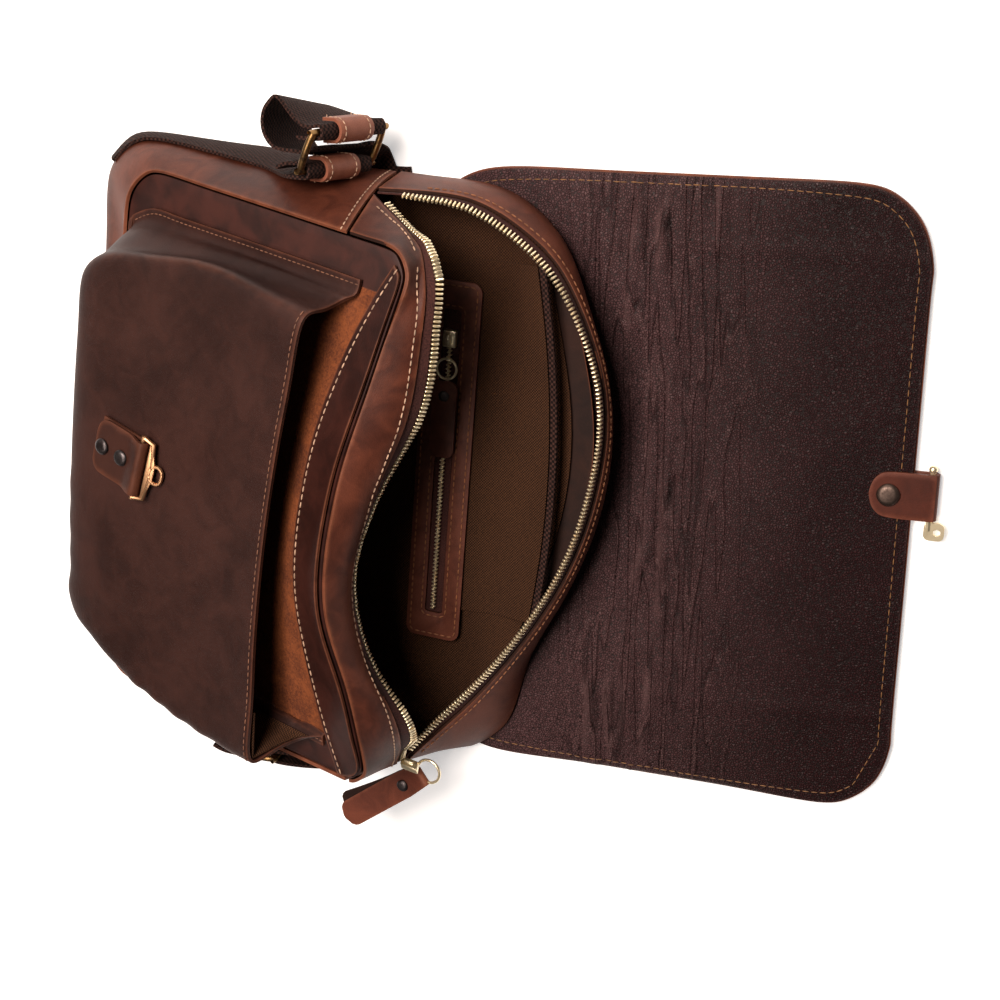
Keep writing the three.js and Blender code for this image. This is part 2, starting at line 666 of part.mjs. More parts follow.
// Slip pocket on the back lining: a canvas sheet whose bound mouth stands a little open
const SLIP = {
  left: -85,
  right: 128,
  bottom: 165,
  mouth: -61,
  middle: 30,
  curve: 0.0009,
  gape: 8,
  gapeFrom: -24,
};
const SLIP_LEVELS = [0, 0.2, 0.33, 0.46, 0.8, 0.9, 1];
const slipMouth = (x) => SLIP.mouth + SLIP.curve * (x - SLIP.middle) ** 2;
const slipLift = LEATHER + CANVAS + 2 * LINING_GAP;
const slipLie = (y) => backRise(y) + slipLift + SLIP.gape * smoothStep(SLIP.gapeFrom, SLIP.mouth, y);
const slipGrid = SLIP_LEVELS.map((t) => span(5, SLIP.left, SLIP.right).map((x) => {
  const y = mix(SLIP.bottom, slipMouth(x), t);
  return vec(x, y, slipLie(y));
}));
add('slip_pocket', sheet(slipGrid, CANVAS), 'canvas');
const bindingGrid = span(5, SLIP.left, SLIP.right).map((x) => [GAP, 4.5].map((d) => {
  const y = slipMouth(x) - d;
  return vec(x, y, slipLie(slipMouth(x)) + d * 0.35);
}));
add('slip_binding', sheet(bindingGrid, 1.8), 'webbing');

// Inner zip pocket: a sewn leather frame on the slip pocket, with its own short zip
const WELT = { x: 5.5, y: 6, length: 221, width: 34, thick: 1.6, slot: 188, slotWidth: 11, turn: -4.1 };
const weltTurn = THREE.MathUtils.degToRad(WELT.turn);
const weltGroup = placed(vec(WELT.x, WELT.y, FLAP_STACK + LEATHER + 2 * CANVAS + 2.6 * LINING_GAP),
  vec(Math.cos(weltTurn), Math.sin(weltTurn), 0), vec(-Math.sin(weltTurn), Math.cos(weltTurn), 0));
const weltShape = roundedShape(WELT.length, WELT.width, 6);
weltShape.holes.push(roundedShape(WELT.slot, WELT.slotWidth, 2));
add('welt_frame', plate(weltShape, WELT.thick), 'tanLeather', weltGroup);
add('inner_zip_tape', plate(roundedShape(WELT.slot - 1, WELT.slotWidth - 0.8, 1.6), 0.7), 'tape', weltGroup);
const innerTeethEnd = 72;
const innerTeeth = [-91, -10, innerTeethEnd].map((x) => vec(x, 0, 2.7));
add('inner_zip_teeth', tube(innerTeeth, 1.7, 6, 6), 'gold', weltGroup);
add('inner_zip_slider', fuse(new THREE.BoxGeometry(10, 8, 4.2).translate(innerTeethEnd + 5.4, 0, 3.1),
  new THREE.BoxGeometry(6, 2.6, 2.4).translate(innerTeethEnd + 5.4, 0, 6.2)), 'gold', weltGroup);
const innerPull = { ring: 6, length: 46, width: 15, thick: 2, height: 5.8, from: 54 };
const innerRing = roundedLoop(vec(innerPull.from + innerPull.ring, 0, innerPull.height), ringX, ringY,
  innerPull.ring, innerPull.ring, innerPull.ring, 3);
add('inner_pull_ring', wireLoop(innerRing, UP, 0.8, 5), 'gold', weltGroup);
add('inner_pull_tab', plate(roundedShape(innerPull.length, innerPull.width, 5), innerPull.thick)
  .translate(innerPull.from - 1.2 - innerPull.length / 2, 0, innerPull.height - 1), 'tanLeather', weltGroup);
add('inner_pull_rivet', dome(3, 1.4).translate(innerPull.from - 10, 0, innerPull.height + 1.3), 'gunmetal',
  weltGroup);

// Carrying webbing: a band sewn to each side, looped round the lower bar of a rectangular ring.
// Loop rows are in the plane across the bar, in steps away from the bag and along it.
function barFrame(bar, away, along) {
  const at = (dx, dy) => bar.clone().addScaledVector(away, dx).addScaledVector(along, dy);
  return (dx, dy, half) => ({ centre: at(dx, dy), half });
}

function arcRows(frame, half, radius, fromDeg, toDeg, steps, cx = 0, cy = 0) {
  return span(steps).map((t) => {
    const turn = THREE.MathUtils.degToRad(mix(fromDeg, toDeg, t));
    return frame(cx + radius * Math.cos(turn), cy + radius * Math.sin(turn), half);
  });
}

const ribbon = (rows, columns) => rows.map(({ centre, half }) => span(columns, -1, 1)
  .map((t) => centre.clone().addScaledVector(half, t)));

const SIDES = {
  right: {
    away: vec(1, 0, 0),
    bar: vec(0, 0.31, 0.95).normalize(),
    lower: vec(180.1, 54.2, 50),
    lean: vec(22, -10, 5),
    sewn: [
      { back: 7, from: 0.05, to: 0.36 },
      { back: 6, from: 0.05, to: 0.42 },
      { back: 5, from: 0.05, to: 0.46 },
      { back: 4, from: 0.05, to: 0.5 },
      { back: 3, from: 0.05, to: 0.56 },
      { back: 2.3, from: 0.06, to: 0.6 },
    ].map(({ back, from, to }) => ({ station: rimCount - back, from, to })),
  },
  left: {
    away: vec(-1, 0, 0),
    bar: vec(0, 0, 1),
    lower: vec(-180.5, 125, 31.5),
    lean: vec(-1.5, -26, 0),
    sewn: [
      { station: 7, from: 0.06, to: 0.76 },
      { station: 6, from: 0.06, to: 0.76 },
      { station: 5, from: 0.06, to: 0.74 },
      { station: 4, from: 0.06, to: 0.72 },
      { station: 3.3, from: 0.06, to: 0.7 },
    ],
  },
};

for (const [name, side] of Object.entries(SIDES)) {
  const lean = side.lean.clone();
  lean.addScaledVector(side.bar, -lean.dot(side.bar)).normalize();
  side.upper = side.lower.clone().addScaledVector(lean, RING.across);
  side.along = side.bar.clone().cross(side.away).normalize();
  if (side.along.y < 0) side.along.negate();
  const middle = blend(side.lower, side.upper, 0.5);
  const outline = roundedLoop(middle, side.bar, lean, RING.halfLength, RING.across / 2, RING.corner);
  add(`ring_${name}`, wireLoop(outline, side.bar.clone().cross(lean), RING.wire, 6), 'antiqueBrass');

  const half = side.bar.clone().multiplyScalar(STRAP.half);
  const sewn = side.sewn.map(({ station, from, to }) => span(4, from, to)
    .map((w) => gussetPoint(station, w, -LEATHER - 3 * GAP)));
  const loopOuter = LOOP_RADIUS + STRAP.thick / 2;
  const frame = barFrame(side.lower, side.away, side.along);
  const loop = [
    frame(-loopOuter, 15, half),
    ...arcRows(frame, half, loopOuter, 180, 360, 4),
    frame(loopOuter, 12, half),
    frame(loopOuter - 3, 21, half),
  ];
  const outside = name === 'right' ? -1 : 1;
  add(`webbing_${name}`, sheet([...sewn, ...ribbon(loop, 4)], outside * STRAP.thick), 'webbing');
}

// Leather keepers: sleeves folded round the webbing at each bar
function keeper(name, bar, away, along) {
  const { inner, thick, leg, length } = KEEPER;
  const outer = inner + thick;
  const shape = new THREE.Shape();
  shape.moveTo(outer, leg);
  shape.lineTo(outer, 0);
  shape.absarc(0, 0, outer, 0, -Math.PI, true);
  shape.lineTo(-outer, leg);
  shape.lineTo(-inner, leg);
  shape.lineTo(-inner, 0);
  shape.absarc(0, 0, inner, -Math.PI, 0, false);
  shape.lineTo(inner, leg);
  const group = placed(bar, away, along);
  add(name, plate(shape, length, 5).translate(0, 0, -length / 2), 'tanLeather', group);
}

keeper('keeper_right_lower', SIDES.right.lower, SIDES.right.away, SIDES.right.along);
keeper('keeper_right_upper', SIDES.right.upper, SIDES.right.away, SIDES.right.along);
keeper('keeper_left_lower', SIDES.left.lower, SIDES.left.away, SIDES.left.along);
keeper('keeper_left_upper', SIDES.left.upper, SIDES.left.away, SIDES.left.along.clone().negate());

// Shoulder strap: from its loop on the +X ring it curls out and back through the ring, turns down under
// the bag, runs in a U under the flap, and turns up to its loop on the -X ring
const row = (x, y, z, wx, wy, wz) => ({ centre: vec(x, y, z), half: vec(wx, wy, wz) });
const U_BEND = { leg: 134, end: -205, radius: 60, entry: 42, rightEntry: 13, leftEntry: 20 };
const floorAt = (x, y) => vec(x, y, STRAP.lie);

function floorArc(x, y, radius, fromDeg, toDeg, facing) {
  return span(5).map((t) => {
    const turn = THREE.MathUtils.degToRad(mix(fromDeg, toDeg, t));
    const out = vec(Math.cos(turn), Math.sin(turn), 0);
    const centre = floorAt(x, y).addScaledVector(out, radius);
    return { centre, half: out.multiplyScalar(facing * STRAP.half) };
  });
}

const rightFrame = barFrame(SIDES.right.upper, SIDES.right.away, SIDES.right.along);
const rightHalf = SIDES.right.bar.clone().multiplyScalar(STRAP.half);
const CURL = { radius: 13.5, x: -1, y: 33, slant: -6, twist: 4 };
const curlHalf = rightHalf.clone().addScaledVector(SIDES.right.along, CURL.slant);
curlHalf.addScaledVector(SIDES.right.away, CURL.twist);
const rightStrap = [
  rightFrame(-LOOP_RADIUS, 15, rightHalf),
  ...arcRows(rightFrame, rightHalf, LOOP_RADIUS, 180, 360, 4),
  rightFrame(LOOP_RADIUS, 13, rightHalf),
  ...arcRows(rightFrame, curlHalf, CURL.radius, 0, 180, 6, CURL.x, CURL.y),
  rightFrame(-11.1, 12, rightHalf),
  row(191.2, 53, 42, 0, 8, 22),
  row(188.6, 52, 26, 0, 12, 13),
  row(183, 56, 8, -1, 15, 4),
  row(178, 60, 1.6, 2, 21, 0),
  ...floorArc(U_BEND.leg + U_BEND.entry, U_BEND.rightEntry, U_BEND.entry, 90, 180, 1),
];
const turnIn = U_BEND.leg - U_BEND.radius;
const turnEnd = U_BEND.end + U_BEND.radius;
const underFlap = [
  row(U_BEND.leg, -80, STRAP.lie, -STRAP.half, 0, 0),
  ...floorArc(turnIn, turnEnd, U_BEND.radius, 0, -90, -1),
  row(0, U_BEND.end, STRAP.lie, 0, STRAP.half, 0),
  ...floorArc(-turnIn, turnEnd, U_BEND.radius, -90, -180, -1),
  row(-U_BEND.leg, -80, STRAP.lie, STRAP.half, 0, 0),
];

// On the -X side the strap climbs the gusset and bends in its own plane towards the ring
const CLIMB = { x: SIDES.left.upper.x - LOOP_RADIUS, y: 91, z: 4.5, radius: 27 };
const climb = span(4, 0, 90).map((deg) => {
  const turn = THREE.MathUtils.degToRad(deg);
  const inwards = vec(0, Math.cos(turn), -Math.sin(turn));
  return {
    centre: vec(CLIMB.x, CLIMB.y, CLIMB.z).addScaledVector(inwards, -CLIMB.radius),
    half: inwards.multiplyScalar(STRAP.half),
  };
});
const leftFrame = barFrame(SIDES.left.upper, SIDES.left.away, SIDES.left.along);
const leftHalf = SIDES.left.bar.clone().multiplyScalar(-STRAP.half);
const leftStrap = [
  ...floorArc(-U_BEND.leg - U_BEND.entry, U_BEND.leftEntry, U_BEND.entry, 0, 90, 1),
  row(-183.4, 63, 2.2, 0, STRAP.half, 0),
  ...climb,
  ...arcRows(leftFrame, leftHalf, LOOP_RADIUS, 0, 180, 4),
  leftFrame(-LOOP_RADIUS, -14, leftHalf),
];
const strapGrid = ribbon([...rightStrap, ...underFlap, ...leftStrap], 2);
add('shoulder_strap', sheet(shifted(strapGrid, -STRAP.thick / 2), STRAP.thick), 'webbing');

// Flap: outer leather below and its lining above, lying over the strap, with its side edges and its middle
// down on the floor
const FLAP_SAG = { halfWidth: 0.42, rise: 0.58, edge: 0.915, toward: 0.55 };
const flapHalf = [0, FLAP_SAG.halfWidth, FLAP_SAG.rise, FLAP_SAG.edge, 1];
const flapColumns = [...flapHalf.slice(1).map((h) => -h).reverse(), ...flapHalf];
const flapLevels = panelLevels(FLAP, 4, 3);

function flapGrid(height, inset) {
  return flapLevels.map((v) => flapColumns.map((h) => {
    const x = cornered(FLAP, h, v) * (FLAP.halfWidth - inset);
    const y = FLAP.hinge - inset - v * (FLAP.height - 2 * inset);
    const isEdge = Math.abs(h) === 1 && v > 0.25 && v < 0.8;
    const isMiddle = Math.abs(h) <= FLAP_SAG.halfWidth && v < FLAP_SAG.toward;
    return vec(x, y, height + (isEdge || isMiddle ? 0 : FLAP_LIE));
  }));
}

add('flap_outer', sheet(flapGrid(0, 0), FLAP_LEATHER), 'leather');
add('flap_lining', sheet(flapGrid(FLAP_LEATHER + GAP, 1), FLAP_LINING), 'flapLining');

// Tabs: a leather strip folded round a metal bar, with its round end riveted down.
// The path runs in steps along the tab and up from what it lies on.
function tabGrid(path, halfWidth, endRadius) {
  return path.map(([y, z], i) => {
    const fromEnd = Math.min(path[i][0] - path[0][0], endRadius);
    const cut = endRadius - Math.sqrt(endRadius ** 2 - (endRadius - fromEnd) ** 2);
    const reach = i < 4 ? halfWidth - cut : halfWidth;
    return span(2, -1, 1).map((t) => vec(t * reach, y, z));
  });
}

function foldPath(y, z, radius, steps) {
  return span(steps, 90, -90).map((deg) => {
    const turn = THREE.MathUtils.degToRad(deg);
    return [y + radius * Math.cos(turn), z + radius * Math.sin(turn)];
  });
}

const TAB = { leather: 1.8, fold: 2.95, bar: 1.7 };

// Pocket tab and its loop, on the face of the pocket
function nearest(rows, x, y) {
  const all = rows.flatMap((points, i) => points.map((p, j) => ({ i, j, d: Math.hypot(p.x - x, p.y - y) })));
  return all.reduce((a, b) => (b.d < a.d ? b : a));
}

const POCKET_TAB = { x: 16.5, y: 174, halfWidth: 17, barAt: 16, barHeight: 4.3, seat: 1.0 };
const pocketFace = shifted(pocketGrid, LEATHER);
const seat = nearest(pocketFace, POCKET_TAB.x, POCKET_TAB.y);
const faceNormal = gridNormal(pocketFace, seat.i, seat.j);
const facePoint = pocketFace[seat.i][seat.j];
const tabOrigin = vec(POCKET_TAB.x, POCKET_TAB.y, 0);
tabOrigin.z = facePoint.z
  - ((tabOrigin.x - facePoint.x) * faceNormal.x + (tabOrigin.y - facePoint.y) * faceNormal.y) / faceNormal.z;
tabOrigin.addScaledVector(faceNormal, POCKET_TAB.seat);
const tabAhead = vec(-0.31, -0.95, 0);
tabAhead.z = -(tabAhead.x * faceNormal.x + tabAhead.y * faceNormal.y) / faceNormal.z;
const tabGroup = placed(tabOrigin, tabAhead.clone().cross(faceNormal), tabAhead);
const topLayer = [[-18, 3.5], [-16.5, 3.5], [-14, 3.5], [-10, 3.5], [0, 3.5], [6.5, 3.9], [11, 5.6]];
const bottomLayer = [[11, 1.35], [0, 1.25], [-17, 1.25]];
const pocketFold = foldPath(POCKET_TAB.barAt, POCKET_TAB.barHeight, TAB.fold, 4);
const pocketTabGrid = tabGrid([...topLayer, ...pocketFold, ...bottomLayer], POCKET_TAB.halfWidth, 8);
add('pocket_tab', sheet(shifted(pocketTabGrid, -TAB.leather / 2), TAB.leather), 'tanLeather', tabGroup);
for (const [name, y] of [['pocket_rivet_outer', -12], ['pocket_rivet_inner', 3]]) {
  add(name, dome(4.5, 1.8).translate(0, y, 3.5 + TAB.leather / 2 + 0.8), 'gunmetal', tabGroup);
}

const CLASP = { reach: 13, halfWidth: 19.3, shoulder: 6, wire: 1.4, eye: 5 };
const claspGroup = placed(tabOrigin.clone()
  .addScaledVector(tabAhead.clone().normalize(), POCKET_TAB.barAt)
  .addScaledVector(faceNormal, POCKET_TAB.barHeight), tabAhead.clone().cross(faceNormal),
  tabAhead.clone().normalize().addScaledVector(faceNormal, -0.2));
const claspSide = (sign) => tube([
  vec(sign * CLASP.halfWidth, 0, 0),
  vec(sign * (CLASP.halfWidth - 0.6), CLASP.shoulder, 0),
  vec(sign * 3, CLASP.reach - 4, 0),
], CLASP.wire, 6, 3);
const claspBar = roundBar(CLASP.wire, 2 * CLASP.halfWidth + 2, 8).rotateZ(Math.PI / 2);
const eyeOutline = roundedLoop(vec(0, CLASP.reach, 0), ringX, ringY, CLASP.eye + 2, CLASP.eye, CLASP.eye, 3);
const claspEye = wireLoop(eyeOutline, UP, CLASP.wire, 6);
add('pocket_clasp', fuse(claspBar, claspSide(1), claspSide(-1), claspEye), 'gold', claspGroup);

// Flap tab and its hook, on the free end of the flap
const FLAP_TAB = { x: 14.3, end: -239, bar: -271.5, halfWidth: 13, capAt: -249.3 };
const flapTop = FLAP_LIE + FLAP_LEATHER + GAP + FLAP_LINING;
const flapBarHeight = (flapTop + FLAP_LIE) / 2;
const flapFold = flapTop - flapBarHeight + GAP + TAB.leather / 2;
const flapTabGroup = placed(vec(FLAP_TAB.x, FLAP_TAB.bar, flapBarHeight), vec(-1, 0, 0), vec(0, -1, 0));
const tabStart = FLAP_TAB.bar - FLAP_TAB.end;
const flapTabPath = [
  ...[0, 1.6, 5, 12].map((d) => [tabStart + d, flapFold]),
  ...foldPath(0, 0, flapFold, 6),
  [tabStart + 12, -flapFold],
  [tabStart + 2, -flapFold],
];
const flapTabGrid = tabGrid(flapTabPath, FLAP_TAB.halfWidth, 12);
add('flap_tab', sheet(shifted(flapTabGrid, -TAB.leather / 2), TAB.leather), 'tanLeather', flapTabGroup);
const capHeight = flapFold + TAB.leather / 2 + 0.3;
const capDome = dome(6, 2.4).translate(0, FLAP_TAB.bar - FLAP_TAB.capAt, capHeight);
add('flap_cap', capDome, 'antiqueBrass', flapTabGroup);
const hookBar = roundBar(TAB.bar, 34, 8).rotateZ(Math.PI / 2).translate(2, 0, 0);
const hookNub = new THREE.SphereGeometry(2.5, 8, 5).translate(-15.5, 0, 0);
const hookShape = roundedShape(10, 11, 3);
const hookHole = new THREE.Path();
hookHole.absarc(0.5, 1.6, 2.2, 0, 2 * Math.PI);
hookShape.holes.push(hookHole);
const hookPlate = plate(hookShape, 2.4).translate(19.4, 3.2, -1.2);
add('flap_clasp', fuse(hookBar, hookNub, hookPlate), 'gold', flapTabGroup);

export default bag;
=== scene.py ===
import math
from contextlib import contextmanager

import bmesh
import bpy
import numpy as np
from mathutils import Matrix, Vector, noise
from mathutils.kdtree import KDTree


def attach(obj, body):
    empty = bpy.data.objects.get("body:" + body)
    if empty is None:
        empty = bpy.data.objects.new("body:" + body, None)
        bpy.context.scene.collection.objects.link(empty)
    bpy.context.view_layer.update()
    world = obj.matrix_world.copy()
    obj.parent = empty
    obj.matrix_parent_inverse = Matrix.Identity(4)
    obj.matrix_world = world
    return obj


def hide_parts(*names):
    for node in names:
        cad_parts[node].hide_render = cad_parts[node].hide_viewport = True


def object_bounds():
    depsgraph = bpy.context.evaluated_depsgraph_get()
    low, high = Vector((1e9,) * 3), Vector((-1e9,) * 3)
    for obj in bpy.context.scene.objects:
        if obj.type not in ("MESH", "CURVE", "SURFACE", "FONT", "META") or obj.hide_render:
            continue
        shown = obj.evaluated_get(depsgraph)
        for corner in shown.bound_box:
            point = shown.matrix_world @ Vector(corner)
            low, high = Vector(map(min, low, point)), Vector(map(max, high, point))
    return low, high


# The bag lies on its back with its flap laid out, in metres.
# Sizes below are in millimetres, as they are cut on the bench.
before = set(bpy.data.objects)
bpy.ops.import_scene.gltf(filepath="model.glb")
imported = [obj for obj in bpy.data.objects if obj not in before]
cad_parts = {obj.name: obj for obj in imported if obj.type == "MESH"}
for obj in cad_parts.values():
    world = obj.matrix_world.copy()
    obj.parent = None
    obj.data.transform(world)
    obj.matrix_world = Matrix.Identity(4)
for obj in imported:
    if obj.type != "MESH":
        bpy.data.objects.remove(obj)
cad_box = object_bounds()
MM = 0.001


# Back panel: the large panel the bag lies on, cut from pull-up cowhide about 2 mm thick.
# Its rounded corners and its sides are stitched to the gusset, edge to edge.
class Finish:
    """A socket in a material's nodes. Arithmetic on it adds Math nodes, and node() any other."""

    def __init__(self, tree, socket=None):
        self.tree = tree
        self.socket = socket

    def node(self, kind, settings, sockets, out=0):
        made = self.tree.nodes.new("ShaderNode" + kind)
        for name, value in settings.items():
            setattr(made, name, value)
        for name, value in sockets.items():
            if isinstance(value, Finish):
                self.tree.links.new(value.socket, made.inputs[name])
            else:
                made.inputs[name].default_value = value
        return Finish(self.tree, made.outputs[out] if len(made.outputs) else None)

    def math(self, operation, first, second):
        return self.node("Math", {"operation": operation}, {0: first, 1: second})

    def __add__(self, other):
        return self.math("ADD", self, other)

    def __radd__(self, other):
        return self.math("ADD", other, self)

    def __sub__(self, other):
        return self.math("SUBTRACT", self, other)

    def __rsub__(self, other):
        return self.math("SUBTRACT", other, self)

    def __mul__(self, other):
        return self.math("MULTIPLY", self, other)

    def __rmul__(self, other):
        return self.math("MULTIPLY", other, self)

    def step(self, low, high):
        """0 below low, 1 above high, and a smooth rise between them."""
        sockets = {"Value": self, "From Min": low, "From Max": high}
        return self.node("MapRange", {"interpolation_type": "SMOOTHSTEP"}, sockets)

    def tint(self, first, second):
        """The first colour where this value is 0, and the second where it is 1."""
        sockets = {0: self, 6: first, 7: second}
        return self.node("Mix", {"data_type": "RGBA", "clamp_factor": True}, sockets, 2)

    def taken(self, operation):
        """A Math function of this value alone."""
        return self.node("Math", {"operation": operation}, {0: self})

    def clouds(self, per_metre, detail=4.0, distortion=0.0):
        """Soft noise over a place, this many clouds to the metre."""
        sockets = {"Vector": self, "Scale": per_metre, "Detail": detail, "Distortion": distortion}
        return self.node("TexNoise", {}, sockets)

    def cells(self, size):
        """How far a place is from its cell's edge, with cells of this size in millimetres."""
        sockets = {"Vector": self, "Scale": 1 / (size * MM)}
        return self.node("TexVoronoi", {"feature": "DISTANCE_TO_EDGE"}, sockets)

    def axis(self, index):
        """One coordinate of a place: 0 for x, 1 for y, 2 for z."""
        return self.node("SeparateXYZ", {}, {0: self}, index)

    def stretched(self, shares):
        """A place with each coordinate multiplied by its own share."""
        return self.node("VectorMath", {"operation": "MULTIPLY"}, {0: self, 1: shares})

    def mark(self, name):
        """What is marked under this name on the points of the mesh."""
        return self.node("Attribute", {"attribute_name": name}, {}, "Fac")


def srgb(red, green, blue):
    """A screen's colour, 0 to 255, in the shader's linear values."""
    shares = (red / 255, green / 255, blue / 255)
    return (*(((s + 0.055) / 1.055) ** 2.4 if s > 0.04 else s / 12.92 for s in shares), 1.0)


def new_finish(name, laid_on="Object"):
    """An empty material, the start of its nodes, and the places its textures are laid on."""
    material = bpy.data.materials.new(name)
    material.use_nodes = True
    material.node_tree.nodes.clear()
    paint = Finish(material.node_tree)
    return material, paint, paint.node("TexCoord", {}, {}, laid_on)


def surface(paint, colour, rough, height, relief, constants):
    """Closes a material: a Principled surface with a bump of this relief in millimetres."""
    bump = paint.node("Bump", {}, {"Height": height, "Distance": relief * MM, "Strength": 1.0})
    sockets = {"Base Color": colour, "Roughness": rough, "Normal": bump, **constants}
    shader = paint.node("BsdfPrincipled", {}, sockets)
    paint.node("OutputMaterial", {}, {"Surface": shader})


BLACK = (0.0, 0.0, 0.0, 1.0)
HIDE = {"clouds": 17, "smears": 70, "fibres": 1400}


def hide_leather(name, deep, base, worn, pore=0.9, rough=0.5, relief=0.07):
    """Pull-up leather: clouded dye, fine pores, and paler where it is rubbed at edges and folds."""
    material, paint, place = new_finish(name)
    broad = place.clouds(HIDE["clouds"], 5.0, 0.6)
    smears = place.clouds(HIDE["smears"], 4.0, 1.2)
    fibre = place.clouds(HIDE["fibres"], 3.0)
    rub = paint.mark("rub")
    dye = (broad * 0.62 + smears * 0.38).step(0.3, 0.7).tint(deep, base)
    scuff = (rub * (0.4 + smears * 0.6)).step(0.2, 1.0)
    dye = (scuff * 0.7).tint(dye, worn)
    grain = place.cells(pore).step(0.0, 0.22)
    dye = (1 - grain * 0.16 - fibre * 0.12).tint(BLACK, dye)
    polish = rough - 0.1 + broad * 0.16 + fibre * 0.1
    height = grain * 0.5 + fibre * 0.6 + smears * 1.5
    surface(paint, dye, polish, height, relief, {"Specular IOR Level": 0.2})
    return material


def chosen(piece):
    """Makes a piece the only selected and active one."""
    bpy.ops.object.select_all(action="DESELECT")
    piece.select_set(True)
    bpy.context.view_layer.objects.active = piece


def corners(piece):
    """A mesh's points as rows of x, y, z."""
    points = np.empty(len(piece.data.vertices) * 3)
    piece.data.vertices.foreach_get("co", points)
    return points.reshape(-1, 3)


def move_corners(piece, points):
    piece.data.vertices.foreach_set("co", points.ravel())
    piece.data.update()


QUAD_BEND = math.radians(60)
QUAD_SKEW = math.radians(70)
CUT_ANGLE = math.radians(50)
CUT_WIDTH = 2.7 * MM
rim_points = {}


def cut_edges(mesh):
    """The edges along a sheet's cut rim: sharp, and beside a face no wider than the leather."""
    for edge in mesh.edges:
        if len(edge.link_faces) == 2 and edge.calc_face_angle() > CUT_ANGLE:
            if min(e.calc_length() for face in edge.link_faces for e in face.edges) < CUT_WIDTH:
                yield edge


@contextmanager
def editing(piece):
    """Edit mode, with all of a piece's mesh selected."""
    chosen(piece)
    bpy.ops.object.mode_set(mode="EDIT")
    bpy.ops.mesh.select_all(action="SELECT")
    yield
    bpy.ops.object.mode_set(mode="OBJECT")


def node_copy(node, name):
    """A copy of a node's mesh under a new name, its triangles merged and joined to a grid of quads."""
    piece = bpy.data.objects.new(name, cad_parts[node].data.copy())
    piece.data.name = name
    piece.data.materials.clear()
    bpy.context.collection.objects.link(piece)
    chosen(piece)
    bpy.ops.mesh.customdata_custom_splitnormals_clear()
    with editing(piece):
        bpy.ops.mesh.remove_doubles(threshold=1e-6)
        bpy.ops.mesh.tris_convert_to_quads(face_threshold=QUAD_BEND, shape_threshold=QUAD_SKEW)
    return piece


def smooth_copy(node, name, levels, cut=True):
    """A copy of a node, curved between its own points, with its cut rim kept crisp."""
    piece = node_copy(node, name)
    mesh = bmesh.new()
    mesh.from_mesh(piece.data)
    crease = mesh.edges.layers.float.new("crease_edge")
    for edge in cut_edges(mesh) if cut else ():
        edge[crease] = 1.0
    mesh.to_mesh(piece.data)
    mesh.free()
    curve = piece.modifiers.new("curve", "SUBSURF")
    curve.levels = levels
    curve.render_levels = levels
    aim = corners(piece)
    for _ in range(3):
        shown = piece.evaluated_get(bpy.context.evaluated_depsgraph_get())
        move_corners(piece, corners(piece) + 0.9 * (aim - corners(shown)[: len(aim)]))
    bpy.ops.object.modifier_apply(modifier="curve")
    if cut:
        mesh = bmesh.new()
        mesh.from_mesh(piece.data)
        rim_points[name] = [vertex.co.copy() for edge in cut_edges(mesh) for vertex in edge.verts]
        mesh.free()
    return piece


def rim_gaps(piece):
    """How far each point of a piece is from its cut rim."""
    tree = KDTree(len(rim_points[piece.name]))
    for index, point in enumerate(rim_points[piece.name]):
        tree.insert(point, index)
    tree.balance()
    return np.array([tree.find(vertex.co)[2] for vertex in piece.data.vertices])


STILL_RIM = 14.0
FINE_DENTS = {"size": 0.45, "depth": 0.5}


def dent(piece, depth, spread, seed):
    """Shallow dents of used leather, this deep and this far apart, fading out near the cut rim."""
    fades = np.minimum(1.0, rim_gaps(piece) / (STILL_RIM * MM))
    shift = Vector((seed, seed * 1.7, -seed))
    points = corners(piece)
    for vertex, fade in zip(piece.data.vertices, fades):
        place = vertex.co / (spread * MM)
        swell = noise.noise(place + shift)
        swell += FINE_DENTS["depth"] * noise.noise(place / FINE_DENTS["size"] - shift)
        points[vertex.index] += np.array(vertex.normal) * (swell * depth * MM * fade)
    move_corners(piece, points)


def rub_marks(piece, reach, fold):
    """Marks how rubbed each point is: within reach of the cut rim, and on outward folds."""
    rub = np.zeros(len(piece.data.vertices))
    if rim_points.get(piece.name):
        rub = np.clip(1 - rim_gaps(piece) / (reach * MM), 0, 1) ** 1.5
    ends = np.array([edge.vertices for edge in piece.data.edges])
    points = corners(piece)
    normals = np.array([vertex.normal for vertex in piece.data.vertices])
    rise = np.zeros(len(points))
    count = np.zeros(len(points))
    for here, there in ((0, 1), (1, 0)):
        step = points[ends[:, there]] - points[ends[:, here]]
        away = -np.einsum("ij,ij->i", step, normals[ends[:, here]]) / np.maximum((step**2).sum(1), 1e-12)
        np.add.at(rise, ends[:, here], away)
        np.add.at(count, ends[:, here], 1)
    bend = np.clip(rise / np.maximum(count, 1) * fold * MM, 0, 1)
    for _ in range(3):
        total = bend.copy()
        np.add.at(total, ends[:, 0], bend[ends[:, 1]])
        np.add.at(total, ends[:, 1], bend[ends[:, 0]])
        bend = total / (count + 1)
    marks = piece.data.attributes.new("rub", "FLOAT", "POINT")
    marks.data.foreach_set("value", np.clip(np.maximum(rub, bend), 0, 1).astype(np.float32))


SMOOTH_ANGLE = math.radians(40)


def put_on(piece, node, body="bag"):
    """Lets a piece ride on a body in place of a node, and hides the node."""
    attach(piece, body)
    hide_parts(node)


